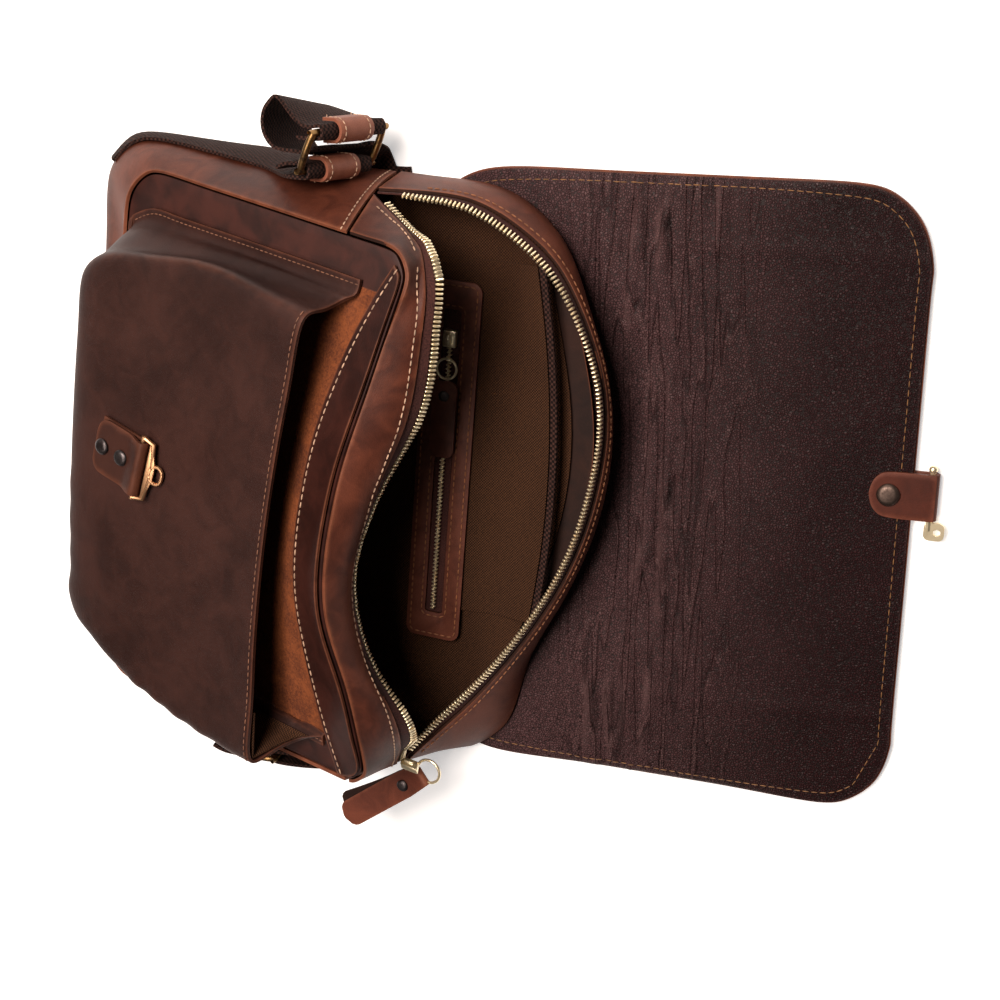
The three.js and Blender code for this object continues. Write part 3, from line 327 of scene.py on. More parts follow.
def finish_piece(piece, node, material, body="bag", edge=0.3, reach=5.0, fold=16.0):
    """Rounds and smooths a piece, marks its wear, and gives it its finish and its place."""
    chosen(piece)
    if edge:
        rounding = piece.modifiers.new("edge", "BEVEL")
        rounding.width = edge * MM
        rounding.segments = 2
        rounding.angle_limit = CUT_ANGLE
        bpy.ops.object.modifier_apply(modifier="edge")
    bpy.ops.object.shade_smooth_by_angle(angle=SMOOTH_ANGLE)
    rub_marks(piece, reach, fold)
    if material:
        piece.data.materials.append(material)
    put_on(piece, node, body)
    return piece


BAG_DEEP = srgb(62, 29, 20)
BAG_BASE = srgb(110, 58, 40)
BAG_WORN = srgb(154, 94, 66)
bag_leather = hide_leather("bag_leather", BAG_DEEP, BAG_BASE, BAG_WORN)


def cut_from(piece, width, length, area, held="stretched", rests_on=()):
    """Turns the size of the flat sheet a piece was cut from, in mm, and the area of the cut, in square cm,
    into metres, and keeps none of it.
    """
    width * MM
    length * MM
    area * 1e-4


# The flesh side is coloured darker than the hide: painted shade for the inside of the bag.
FLESH_DEEP = srgb(26, 13, 10)
FLESH_BASE = srgb(48, 26, 18)
FLESH_WORN = srgb(70, 40, 28)
INSIDE = Vector((0.0, 60.0, 45.0))
flesh_in_painted_shade = hide_leather("flesh_in_painted_shade", FLESH_DEEP, FLESH_BASE, FLESH_WORN, rough=0.7)


def flesh_inside(piece):
    """Shows the leather's flesh side on the faces that look into the bag, coloured dark as painted shade.
    """
    piece.data.materials.append(flesh_in_painted_shade)
    for face in piece.data.polygons:
        if face.normal.dot(face.center - INSIDE * MM) < 0:
            face.material_index = 1


back_panel = smooth_copy("back_panel", "back_panel_hide", 2)
finish_piece(back_panel, "back_panel", bag_leather)
flesh_inside(back_panel)
cut_from(back_panel, 362, 308, 990, "laid")

# Front panel: the same hide, its flesh side shown as orange suede where it backs the pocket.
# Its top edge is stitched to the front strip, and its sides and foot to the gusset.
FRONT_DEEP = srgb(36, 15, 11)
FRONT_BASE = srgb(60, 28, 21)
SUEDE_DEEP = srgb(78, 37, 18)
SUEDE_BASE = srgb(125, 66, 32)
SUEDE_FOOT = 150.0
SUEDE_TOP = {"y": 45.0, "x": -38.0, "bow": 0.00185}
SUEDE_SIDES = [
    # x of the pocket's side at y = 0, and how far it leans out for each millimetre of y
    (-147.0, 0.09),
    (122.0, 0.16),
]


def suede_backed(name, deep, base):
    """Smooth hide at the margins, and the napped, mottled flesh side between the pocket's sides."""
    material, paint, place = new_finish(name)
    across = place.axis(0)
    down = place.axis(1)
    inside = (SUEDE_FOOT * MM - down).step(0.0, 4.0 * MM)
    off_middle = across - SUEDE_TOP["x"] * MM
    under_yoke = down + off_middle * off_middle * (SUEDE_TOP["bow"] / MM) - SUEDE_TOP["y"] * MM
    inside = under_yoke.step(0.0, 2.0 * MM) * inside
    for (start, lean), facing in zip(SUEDE_SIDES, (1, -1)):
        inside = ((across - down * lean) * facing - start * facing * MM).step(0.0, 1.0 * MM) * inside
    broad = place.clouds(60, 4.0, 0.5)
    nap = place.clouds(700, 5.0, 0.8)
    fibre = place.clouds(2200, 2.0)
    flesh = (broad * 0.5 + nap * 0.5).step(0.34, 0.66).tint(deep, base)
    hide = broad.step(0.3, 0.7).tint(FRONT_DEEP, FRONT_BASE)
    polish = 0.5 + fibre * 0.1 + inside * 0.32
    height = fibre * 0.3 + inside * (nap + fibre * 0.6)
    surface(paint, inside.tint(hide, flesh), polish, height, 0.2, {"Specular IOR Level": 0.3})
    return material


front_panel = smooth_copy("front_panel", "front_panel_hide", 2)
finish_piece(front_panel, "front_panel", suede_backed("front_suede", SUEDE_DEEP, SUEDE_BASE))
cut_from(front_panel, 336, 252, 640)

# Yoke: a band of smooth leather that faces the top of the front panel, above the pocket.
# Its lower edge is held by one bold row of cream thread, and its other edges lie in the seam.
THREAD = srgb(204, 166, 138)
TAN_THREAD = srgb(150, 96, 62)
STITCH_LENGTH = 3.2
STITCH_PITCH = 4.1
STITCH_WIDE = 0.95
STITCH_HIGH = 0.9
STITCH_SINK = 0.1
RIM_LIFT = 0.8


def thread_finish(name, colour):
    """Waxed thread: one colour with a faint twist and a little soil."""
    material, paint, place = new_finish(name)
    soil = place.clouds(180, 3.0)
    twist = place.clouds(2600, 2.0)
    shade = tuple(0.45 * share for share in colour[:3]) + (1.0,)
    surface(paint, soil.step(0.3, 0.75).tint(colour, shade), 0.6 + twist * 0.15, twist, 0.08, {})
    return material


cream_thread = thread_finish("cream_thread", THREAD)
tan_thread = thread_finish("tan_thread", TAN_THREAD)


def strung(name, shape, places):
    """One mesh of a small shape copied to each place: its middle and its three directions."""
    local = corners(shape)
    faces = [tuple(face.vertices) for face in shape.data.polygons]
    points = []
    joined = []
    for middle, *axes in places:
        turn = np.array(axes)
        start = len(points) * len(local)
        points.append(local @ turn + np.array(middle))
        joined += [tuple(start + corner for corner in face) for face in faces]
    mesh = bpy.data.meshes.new(name)
    mesh.from_pydata(np.concatenate(points).tolist(), [], joined)
    row = bpy.data.objects.new(name, mesh)
    bpy.context.collection.objects.link(row)
    chosen(row)
    bpy.ops.object.shade_smooth_by_angle(angle=SMOOTH_ANGLE)
    return row


def chained(lines, reach):
    """The longest of some lines, lengthened at its ends by the lines within reach of it."""
    chain, *rest = sorted(lines, key=len, reverse=True)
    rest = [line for line in rest if len(line) > 4]
    while rest:
        gap, index, end, start = min(
            (np.linalg.norm(chain[end] - line[start]), index, end, start)
            for index, line in enumerate(rest)
            for end in (0, -1)
            for start in (0, -1)
        )
        if gap > reach * MM:
            break
        line = rest.pop(index)[:: 1 if start == 0 else -1]
        chain = np.vstack([chain, line]) if end == -1 else np.vstack([line[::-1], chain])
    return chain


def rim_run(piece, picks, inset, facing=None, reach=0.0):
    """The line a distance inside a cut edge. picks(middle, normal, outward) chooses the edge."""

    def breadth(face):
        return abs(face.normal.dot(facing)) if facing else face.calc_area()

    mesh = bmesh.new()
    mesh.from_mesh(piece.data)
    joins = {}
    inwards = {}
    for edge in cut_edges(mesh):
        rim, broad = sorted(edge.link_faces, key=breadth)
        start, end = (vertex.co for vertex in edge.verts)
        if picks((start + end) / 2 / MM, broad.normal, rim.normal):
            inward = (end - start).cross(broad.normal).normalized()
            inward *= -math.copysign(inset * MM, inward.dot(rim.normal))
            for here, there in (edge.verts, reversed(edge.verts)):
                joins.setdefault(here.index, []).append(there.index)
                inwards.setdefault(here.index, []).append(inward + broad.normal * (RIM_LIFT * MM))
    runs = []
    left = set(joins)
    while left:
        here = next((v for v in sorted(left) if len(joins[v]) == 1), min(left))
        run = []
        while here is not None:
            left.discard(here)
            run.append(here)
            here = next((v for v in joins[here] if v in left), None)
        if len(run) > 2 and run[0] in joins[run[-1]]:
            run.append(run[0])
        runs.append(run)
    mesh.verts.ensure_lookup_table()
    inset_at = {v: mesh.verts[v].co + sum(shifts, Vector()) / len(shifts) for v, shifts in inwards.items()}
    lines = [np.array([inset_at[v] for v in run]) for run in runs]
    mesh.free()
    return chained(lines, reach)


def even_steps(points, pitch):
    """Points at an even pitch along a line, each with the line's direction there."""
    steps = np.linalg.norm(np.diff(points, axis=0), axis=1)
    along = np.concatenate([[0], np.cumsum(steps)])
    count = max(2, int(along[-1] / (pitch * MM)))
    marks = (np.arange(count) + 0.5) * along[-1] / count
    reach = 0.4 * pitch * MM

    def at(where):
        return np.stack([np.interp(where, along, points[:, axis]) for axis in range(3)], 1)

    heading = at(np.clip(marks + reach, 0, along[-1])) - at(np.clip(marks - reach, 0, along[-1]))
    return at(marks), heading / np.linalg.norm(heading, axis=1)[:, None]


def stitch_row(name, piece, run, thread=cream_thread, pitch=STITCH_PITCH, thick=1.0):
    """A row of stitches along a line on a piece, each a short thread that dives in at its ends."""
    bpy.ops.mesh.primitive_uv_sphere_add(segments=6, ring_count=5, radius=0.5)
    stitch = bpy.context.object
    size = np.array([STITCH_WIDE * thick, STITCH_HIGH * thick, STITCH_LENGTH * pitch / STITCH_PITCH]) * MM
    move_corners(stitch, (corners(stitch) * size)[:, [2, 0, 1]])
    places = []
    for middle, heading in zip(*even_steps(run, pitch)):
        _, spot, up, _ = piece.closest_point_on_mesh(Vector(middle))
        ahead = Vector(heading)
        side = up.cross(ahead).normalized()
        ahead = side.cross(up).normalized()
        rise = 0.5 * (0.5 * STITCH_HIGH - STITCH_SINK) * thick * MM
        places.append((spot + up * rise, ahead, side, up))
    row = strung(name, stitch, places)
    bpy.data.objects.remove(stitch)
    row.data.materials.append(thread)
    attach(row, "bag")
    return row


front_yoke = smooth_copy("front_yoke", "front_yoke_hide", 3)
dent(front_yoke, 0.5, 45, seed=3.0)
yoke_foot = rim_run(front_yoke, lambda at, up, out: up.z > 0.2 and out.y > 0.5, 3.2)
yoke_leather = hide_leather("yoke_leather", FRONT_DEEP, FRONT_BASE, BAG_WORN)
finish_piece(front_yoke, "front_yoke", yoke_leather, reach=2.5)
cut_from(front_yoke, 305, 64, 81)
stitch_row("yoke_stitches", front_yoke, yoke_foot, pitch=4.6)

# Gusset: one long band of leather round the sides and foot, seamed to both panels.
# Each end is turned over the zip strips and held by a row of cream thread.
gusset = smooth_copy("gusset_band", "gusset_hide", 3)
dent(gusset, 0.8, 50, seed=5.0)
gusset_ends = {
    "right": rim_run(gusset, lambda at, up, out: at.x > 120 and up.x > 0.2 and out.y < -0.6, 3.4),
    "left": rim_run(gusset, lambda at, up, out: at.x < -120 and up.x < -0.2 and out.y < -0.6, 3.4),
}
finish_piece(gusset, "gusset_band", bag_leather)
cut_from(gusset, 90, 735, 440)
for side, run in gusset_ends.items():
    stitch_row(f"gusset_end_{side}_stitches", gusset, run)

# Zip strips: two strips of leather over the mouth, from the panels' tops to the zip.
# The lip of each is turned under along the tape and top-stitched beside it.
STRIPS = [
    # side, thread, the sheet's width and length, area of the cut
    ("front", cream_thread, 390, 40, 98),
    ("back", tan_thread, 420, 52, 158),
]
LIP_STEP = 2.0
LIP_INSET = 4.2
LIP_LIFT = 2.0
LIP_SMOOTHING = 20
RING_EDGE = 5.0


def tube_line(node):
    """The middle line of a tube-shaped node, ring by ring from its right-hand end."""
    mesh = bmesh.new()
    mesh.from_mesh(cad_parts[node].data)
    bmesh.ops.remove_doubles(mesh, verts=mesh.verts, dist=1e-6)
    ring_of = {vertex: vertex for vertex in mesh.verts}

    def root(vertex):
        while ring_of[vertex] != vertex:
            vertex = ring_of[vertex]
        return vertex

    for edge in mesh.edges:
        if edge.calc_length() < RING_EDGE * MM:
            ring_of[root(edge.verts[0])] = root(edge.verts[1])
    rings = {}
    for vertex in mesh.verts:
        rings.setdefault(root(vertex), []).append(vertex.co)
    middles = [np.array(sum(ring, Vector()) / len(ring)) for ring in rings.values()]
    line = [max(middles, key=lambda point: point[0])]
    while len(line) < len(middles):
        rest = [m for m in middles if not any(m is done for done in line)]
        line.append(min(rest, key=lambda point: np.linalg.norm(point - line[-1])))
    mesh.free()
    return np.array(line)


def lip_run(piece, line):
    """The line a distance inside the lip that follows a zip, a little off the leather's outside."""
    edges = []
    ways = []
    for middle, heading in zip(*even_steps(line, LIP_STEP)):
        _, edge, _, _ = piece.closest_point_on_mesh(Vector(middle))
        ahead = Vector(heading)
        inward = edge - Vector(middle)
        inward = (inward - ahead * inward.dot(ahead)).normalized()
        edges.append(np.array(edge + inward * (LIP_INSET * MM)))
        ways.append(np.array(ahead.cross(inward)))
    edges = np.array(edges)
    ways = np.array(ways)
    outward = np.sign(((edges - np.array(INSIDE) * MM) * ways).sum())
    run = edges + outward * ways * LIP_LIFT * MM
    for _ in range(LIP_SMOOTHING):
        run[1:-1] = 0.5 * run[1:-1] + 0.25 * (run[:-2] + run[2:])
    return run


strips = {}
zip_lines = {}
for side, thread, width, length, area in STRIPS:
    strip = smooth_copy(f"strip_{side}", f"strip_{side}_hide", 3)
    dent(strip, 0.6, 42, seed=7.0)
    strips[side] = strip
    zip_lines[side] = tube_line(f"zip_teeth_{side}")
    lip = lip_run(strip, zip_lines[side])
    finish_piece(strip, f"strip_{side}", bag_leather)
    flesh_inside(strip)
    cut_from(strip, width, length, area)
    stitch_row(f"strip_{side}_stitches", strip, lip, thread)

# Mouth zip: two woven tapes sewn under the strips, each with a row of brass teeth on its edge.
# The teeth are stamped blocks clamped on the tape at an even pitch, pointing away from the strip.
TAPE = srgb(78, 47, 42)
TAPE_SHADE = srgb(44, 26, 25)
TOOTH = {"along": 1.25, "across": 4.4, "thick": 2.3}
TOOTH_PITCH = 2.4
TAPE_WIDE = 10
TAPE_CUT = {"front": (410, 25.7), "back": (420, 18.6)}


def woven_tape(name, shade, light, per_metre):
    """Close-woven tape: fine ribs and a matt, slightly hairy face."""
    material, paint, place = new_finish(name)
    ribs = place.clouds(per_metre, 3.0)
    broad = place.clouds(40, 3.0)
    dye = (ribs * 0.7 + broad * 0.3).step(0.35, 0.65).tint(shade, light)
    sheen = {"Specular IOR Level": 0.1, "Sheen Weight": 0.08, "Sheen Roughness": 0.4}
    surface(paint, dye, 0.8 + ribs * 0.1, ribs, 0.2, sheen)
    return material


def metal(name, bright, dull, polish, patina, metallic=1.0):
    """Plated metal: polished with fine marks, and duller where its patina is thick."""
    material, paint, place = new_finish(name)
    stain = place.clouds(160, 4.0, 0.4)
    marks = place.clouds(900, 4.0)
    rub = paint.mark("rub")
    worn = (stain * 0.7 + marks * 0.3 + rub * 0.5).step(patina - 0.12, patina + 0.16)
    rough = polish + 0.25 - worn * 0.22 + marks * 0.06
    surface(paint, worn.tint(dull, bright), rough, marks, 0.03, {"Metallic": metallic})
    return material


zip_weave = woven_tape("zip_weave", TAPE_SHADE, TAPE, 1500)
gold = metal("pale_gold", srgb(255, 238, 200), srgb(222, 178, 122), 0.24, 0.34, 0.85)


def tooth_block(tooth):
    """One tooth: a small stamped block with rounded edges."""
    bpy.ops.mesh.primitive_cube_add(size=1)
    block = bpy.context.object
    move_corners(block, corners(block) * np.array([tooth["along"], tooth["across"], tooth["thick"]]) * MM)
    with editing(block):
        bpy.ops.mesh.bevel(offset=0.3 * tooth["along"] * MM, segments=1)
    return block


def teeth_row(node, tooth, places):
    """A row of gold teeth in place of a node, one at each place."""
    block = tooth_block(tooth)
    row = strung(f"{node}_row", block, places)
    bpy.data.objects.remove(block)
    row.data.materials.append(gold)
    put_on(row, node)


FIRST_TOOTH = {"front": 2.0, "back": 10.0}
for side, strip in strips.items():
    tape = smooth_copy(f"zip_tape_{side}", f"zip_tape_{side}_weave", 2)
    finish_piece(tape, f"zip_tape_{side}", zip_weave, edge=0)
    cut_from(tape, TAPE_WIDE, *TAPE_CUT[side])
    line = zip_lines[side]
    lead = (line[0] - line[1]) / np.linalg.norm(line[0] - line[1])
    line = np.vstack([line[0] + lead * FIRST_TOOTH[side] * MM, line])
    places = []
    for middle, heading in zip(*even_steps(line, TOOTH_PITCH)):
        _, spot, _, _ = strip.closest_point_on_mesh(Vector(middle))
        ahead = Vector(heading)
        across = Vector(middle) - spot
        across = (across - ahead * across.dot(ahead)).normalized()
        places.append((middle, ahead, across, ahead.cross(across)))
    teeth_row(f"zip_teeth_{side}", TOOTH, places)

# Zip slider and pull: a cast slider with a wire ring, and a leather tab riveted round the ring.
# The tab hangs outside the bag at the left end of the mouth.
TAN_DEEP = srgb(104, 56, 42)
TAN_BASE = srgb(136, 80, 62)
TAN_WORN = srgb(166, 104, 78)
PULL_LENGTH = 66.0
PULL_REACH = 67.0
PULL_HALF = 8.7
PULL_LAYER = 1.2
PULL_GAP = 0.65
PULL_FOLD = {"share": 0.06, "radius": 1.9}
PULL_SPLAY = {"over": 3.0, "under": 3.5, "aside": 7.5}
PULL_NECK = {"narrower": 1.3, "length": 14.0}
PULL_END = 7.0
PULL_GRID = {"x_subdivisions": 72, "y_subdivisions": 8}
WIRE_AT = -35.0
SLIDER_SLIM = 0.74
SLIDER_LONG = 1.15
SLIDER_SHIFT = 1.6
RIVET_AT = -20.5
tan_leather = hide_leather("tan_leather", TAN_DEEP, TAN_BASE, TAN_WORN, pore=0.8)
# The pull's leather is a paler copy of the bag's leather: painted light, where the bag's shadow falls on
# the tab.
PULL_LIT_DEEP = srgb(74, 36, 26)
PULL_LIT_BASE = srgb(114, 60, 43)
lit_pull_leather = hide_leather("lit_pull_leather", PULL_LIT_DEEP, PULL_LIT_BASE, TAN_WORN, pore=0.8)
gunmetal = metal("gunmetal", srgb(86, 80, 80), srgb(44, 38, 38), 0.36, 0.55)


def cast_copy(node, kind, material, body="bag", edge=0.3, levels=0):
    """A copy of a hard node, its edges rounded or all of it curved, named by node and kind."""
    name = f"{node}_{kind}"
    piece = smooth_copy(node, name, levels, cut=False) if levels else node_copy(node, name)
    return finish_piece(piece, node, material, body, edge=edge, fold=3.0)


slider = node_copy("zip_slider", "zip_slider_cast")
middle = corners(slider).mean(0)
to_teeth = min((line[-1] - middle for line in zip_lines.values()), key=np.linalg.norm)
lead = to_teeth / np.linalg.norm(to_teeth)
points = corners(slider) - middle
along = (points @ lead)[:, None] * lead
ring = corners(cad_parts["zip_pull_ring"]) - middle
by_ring = np.linalg.norm(points[:, None] - ring[None], axis=2).min(1).argmin()
held = (points - along)[by_ring]
points = held + SLIDER_SLIM * (points - along - held) + SLIDER_LONG * along + SLIDER_SHIFT * MM * lead
move_corners(slider, middle + points)
finish_piece(slider, "zip_slider", gold, edge=0.5, fold=3.0)
cast_copy("zip_pull_ring", "wire", gold, edge=0, levels=2)


def pull_path(along):
    """A place on the folded strip, 0 to 1: how far along the tab, how high and how far aside."""
    share = PULL_FOLD["share"]
    radius = PULL_FOLD["radius"]
    past_fold = abs(along - 0.5) - share
    if past_fold < 0:
        turn = 0.5 * math.pi * (along - 0.5) / share
        return WIRE_AT - radius * math.cos(turn), -radius * math.sin(turn), 0.0
    over = along < 0.5
    place = WIRE_AT + past_fold / (0.5 - share) * PULL_REACH
    if place < RIVET_AT:
        pinch = min(1.0, (RIVET_AT - place) / (RIVET_AT - WIRE_AT)) ** 2
        height = PULL_GAP + (radius - PULL_GAP) * pinch
        return place, height if over else -height, 0.0
    splay = ((place - RIVET_AT) / PULL_LENGTH) ** 1.4
    if over:
        return place, PULL_GAP + PULL_SPLAY["over"] * splay, 0.0
    return place, -PULL_GAP - PULL_SPLAY["under"] * splay, -PULL_SPLAY["aside"] * splay


def thicken(piece, thickness):
    """Thickens a flat mesh to both sides. A second material goes on its far side."""
    chosen(piece)
    wall = piece.modifiers.new("wall", "SOLIDIFY")
    wall.thickness = thickness * MM
    wall.offset = 0.0
    wall.material_offset = max(0, len(piece.data.materials) - 1)
    bpy.ops.object.modifier_apply(modifier="wall")


def folded_pull(name, tab, ring):
    """A strip of leather folded in two round the pull ring, its ends rounded and splayed apart."""
    points = corners(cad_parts[tab])
    middle = (points.min(0) + points.max(0)) / 2
    ahead, across, up = np.linalg.svd(points - points.mean(0))[2]
    ahead = ahead * np.sign(ahead @ (middle - corners(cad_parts[ring]).mean(0)))
    up = up * np.sign(up[2])
    across = np.cross(up, ahead)
    across = across * np.sign(-across[0])
    bpy.ops.mesh.primitive_grid_add(**PULL_GRID, size=2)
    strip = bpy.context.object
    strip.name = name
    shaped = []
    for x, y, _ in corners(strip):
        place, height, sideways = pull_path((x + 1) / 2)
        end = min(1.0, max(0.0, (WIRE_AT + PULL_REACH - place) / PULL_END))
        neck = max(0.0, 1 - (place - WIRE_AT) / PULL_NECK["length"])
        half = PULL_HALF - PULL_NECK["narrower"] * neck
        half *= math.sqrt(max(0.02, 1 - (1 - end) ** 2))
        shaped.append(middle + MM * (place * ahead + (y * half + sideways) * across + height * up))
    move_corners(strip, np.array(shaped))
    strip.data.materials.append(flesh_in_painted_shade)
    strip.data.materials.append(lit_pull_leather)
    thicken(strip, PULL_LAYER)
    return strip


zip_pull = folded_pull("zip_pull_hide", "zip_pull_tab", "zip_pull_ring")
finish_piece(zip_pull, "zip_pull_tab", None, edge=0.25)
cut_from(zip_pull, 2 * PULL_HALF, 143, 24.5, "folded")
cast_copy("zip_pull_rivet", "cap", gunmetal, edge=0, levels=2)

# Front pocket: a boxed pocket of dark waxed leather, its flange stitched to the front panel on three sides.
# The mouth stands open at the top, its edge turned in and stitched; wear shows on its folds.
POCKET_DEEP = srgb(42, 23, 19)
POCKET_BASE = srgb(62, 36, 30)
POCKET_WORN = srgb(116, 68, 48)
pocket_leather = hide_leather("pocket_leather", POCKET_DEEP, POCKET_BASE, POCKET_WORN, rough=0.46)
pocket_thread = thread_finish("pocket_thread", srgb(132, 88, 64))
pocket = smooth_copy("pocket", "pocket_hide", 3)
dent(pocket, 0.6, 80, seed=11.0)
pocket_mouth = rim_run(pocket, lambda at, up, out: at.z > 95 and up.z > 0.5 and out.y < -0.5, 3.0)
pocket_flange_right = rim_run(pocket, lambda at, up, out: up.z > 0.3 and out.x > 0.5, 3.0)
pocket_flange_left = rim_run(pocket, lambda at, up, out: up.z > 0.3 and out.x < -0.5, 3.0)
finish_piece(pocket, "pocket", pocket_leather, reach=3.0)
cut_from(pocket, 372, 290, 620)
stitch_row("pocket_mouth_stitches", pocket, pocket_mouth, pocket_thread, thick=0.8)
stitch_row("pocket_right_stitches", pocket, pocket_flange_right, pocket_thread, 3.4, 0.7)
stitch_row("pocket_left_stitches", pocket, pocket_flange_left, pocket_thread, 3.4, 0.7)

# Pocket tab: a leather tab folded round the bar of the clasp loop and riveted twice to the pocket's face.
# The loop turns on its bar.
TAB_DEEP = srgb(42, 22, 17)
TAB_BASE = srgb(62, 34, 26)
tab_leather = hide_leather("tab_leather", TAB_DEEP, TAB_BASE, POCKET_WORN, pore=0.8)
pocket_tab = smooth_copy("pocket_tab", "pocket_tab_hide", 2)
finish_piece(pocket_tab, "pocket_tab", tab_leather)
cut_from(pocket_tab, 44, 66, 27.6, "folded")
for place in ("outer", "inner"):
    cast_copy(f"pocket_rivet_{place}", "cap", gunmetal, edge=0, levels=2)
CLASP_BAR_AT = Vector((11.813, 160.267, 98.362)) * MM
CLASP_BAR = Vector((-0.9524, 0.3026, -0.036))
EYE_FROM = 8.0
EYE_SHARE = 0.78
WEB_THICK = 1.5
WEB_OUTLINE = [
    # along the bar, out from the bar
    (-18.6, 5.0),
    (18.6, 5.0),
    (17.8, 6.8),
    (4.6, 10.6),
    (-4.6, 10.6),
    (-17.8, 6.8),
]
clasp_gold = metal("clasp_gold", srgb(226, 176, 132), srgb(158, 112, 76), 0.36, 0.4)
clasp = node_copy("pocket_clasp", "pocket_clasp_cast")
points = corners(clasp) - np.array(CLASP_BAR_AT)
to_middle = Vector(points.mean(0))
out_from_bar = (to_middle - CLASP_BAR * CLASP_BAR.dot(to_middle)).normalized()
beyond = points @ np.array(out_from_bar) > EYE_FROM * MM
eye_foot = np.array(out_from_bar) * EYE_FROM * MM
points[beyond] = eye_foot + EYE_SHARE * (points[beyond] - eye_foot)
move_corners(clasp, points + np.array(CLASP_BAR_AT))
finish_piece(clasp, "pocket_clasp", clasp_gold, "pocket_loop", edge=0.25, fold=3.0)
bpy.ops.mesh.primitive_circle_add(vertices=len(WEB_OUTLINE), fill_type="NGON")
web = bpy.context.object
web.name = "pocket_clasp_web"
outline = [CLASP_BAR_AT + MM * (along * CLASP_BAR + out * out_from_bar) for along, out in WEB_OUTLINE]
move_corners(web, np.array(outline))
thicken(web, WEB_THICK)
finish_piece(web, "pocket_clasp", clasp_gold, "pocket_loop", edge=0.4, fold=3.0)

# Lining: brown canvas sheets inside the panels, the gusset and the strips, sewn in at the zip.
# They are plain woven, so each is cut flat.
CANVAS_SHADE = srgb(20, 10, 6)
CANVAS_LIGHT = srgb(79, 50, 31)
CANVAS_YARN = 0.85
SLUB = 0.33


def plain_weave(name, shade, light, yarn, relief):
    """Plain weave: crossing yarns of uneven thickness and tone, laid along the sheet's own map."""
    material, paint, place = new_finish(name, "UV")
    turn = math.pi / (yarn * MM)
    warp, weft = ((place.axis(index) * turn).taken("SINE") for index in (0, 1))
    over = (warp * weft).step(-0.4, 0.4)
    slubs = []
    for stretch in ((1 / yarn, SLUB / yarn, 1), (SLUB / yarn, 1 / yarn, 1)):
        slubs.append(place.stretched(stretch).clouds(1 / MM, 2.0))
    broad = place.clouds(30, 3.0)
    tone = over * slubs[0] + (1 - over) * slubs[1]
    dye = (tone * 0.6 + over * 0.4 + broad * 0.15).step(0.34, 0.9).tint(shade, light)
    surface(paint, dye, 0.88 + over * 0.08, tone + over * 0.5, relief, {"Specular IOR Level": 0.15})
    return material


def map_flat(piece):
    """Maps each face of a piece from its nearest side, one metre to one unit."""
    with editing(piece):
        bpy.ops.uv.cube_project(cube_size=1.0)


canvas = plain_weave("brown_canvas", CANVAS_SHADE, CANVAS_LIGHT, CANVAS_YARN, 0.25)
LININGS = [
    # node, the sheet's width and length, area of the cut
    ("lining_front", 322, 250, 588),
    ("lining_back", 352, 288, 903),
    ("lining_band", 62, 660, 276),
    ("lining_strip_front", 372, 26, 57),
    ("lining_strip_back", 402, 37, 97),
    ("slip_pocket", 214, 229, 477),
    ("pocket_lining", 102, 60, 42),
]
for node, width, length, area in LININGS:
    sheet = smooth_copy(node, f"{node}_canvas", 2)
    dent(sheet, 0.7, 40, seed=13.0)
    map_flat(sheet)
    finish_piece(sheet, node, canvas, edge=0)
    cut_from(sheet, width, length, area)

# Binding: a dark woven tape folded over the slip pocket's mouth.
# It is sewn through the canvas and keeps the pocket's edge from fraying.
WEBBING_SHADE = srgb(17, 10, 9)
WEBBING_LIGHT = srgb(66, 43, 37)
WEBBING_YARN = 1.5
webbing_weave = plain_weave("webbing_weave", WEBBING_SHADE, WEBBING_LIGHT, WEBBING_YARN, 0.6)
binding = smooth_copy("slip_binding", "slip_binding_weave", 2)
map_flat(binding)
finish_piece(binding, "slip_binding", webbing_weave, edge=0)
cut_from(binding, 12, 216, 13.2, "folded")

# Inner zip pocket: a leather welt sewn to the back lining, with a fine zip in its slot.
# Two rows of thread run round it, one by the outside and one by the slot.
WELT_DEEP = srgb(26, 8, 8)
WELT_BASE = srgb(48, 17, 14)
welt_leather = hide_leather("welt_leather", WELT_DEEP, WELT_BASE, TAN_BASE, rough=0.42)
welt_thread = thread_finish("welt_thread", srgb(150, 94, 58))
WELT_MIDDLE = Vector((5.5, 6.0))
UPWARD = Vector((0, 0, 1))


def by_outside(at, up, out):
    """True on the welt's outer edge, False on the edge of its slot."""
    return up.z > 0.5 and out.xy.dot(at.xy - WELT_MIDDLE) > 0


welt = node_copy("welt_frame", "welt_hide")
welt_outer = rim_run(welt, by_outside, 2.6, UPWARD)
welt_inner = rim_run(welt, lambda at, up, out: up.z > 0.5 and not by_outside(at, up, out), 2.2, UPWARD)
finish_piece(welt, "welt_frame", welt_leather)
cut_from(welt, 34, 224, 61.3)
stitch_row("welt_outer_stitches", welt, welt_outer, welt_thread)
stitch_row("welt_inner_stitches", welt, welt_inner, welt_thread)
inner_tape = node_copy("inner_zip_tape", "inner_zip_tape_weave")
finish_piece(inner_tape, "inner_zip_tape", zip_weave, edge=0)
cut_from(inner_tape, 13, 188, 20.4)
INNER_TOOTH = {"along": 0.9, "across": 2.3, "thick": 1.7}
INNER_PITCH = 1.2
INNER_OFFSET = 0.45
BAR_END = 1.0
bar = corners(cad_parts["inner_zip_teeth"])
along_bar = bar[:, 0]
right_end = bar[along_bar > along_bar.max() - BAR_END * MM].mean(0)
left_end = bar[along_bar < along_bar.min() + BAR_END * MM].mean(0)
places = []
for count, (middle, heading) in enumerate(zip(*even_steps(np.array([right_end, left_end]), INNER_PITCH))):
    ahead = Vector(heading)
    across = UPWARD.cross(ahead).normalized() * (1 if count % 2 else -1)
    places.append((Vector(middle) + across * (INNER_OFFSET * MM), ahead, across, ahead.cross(across)))
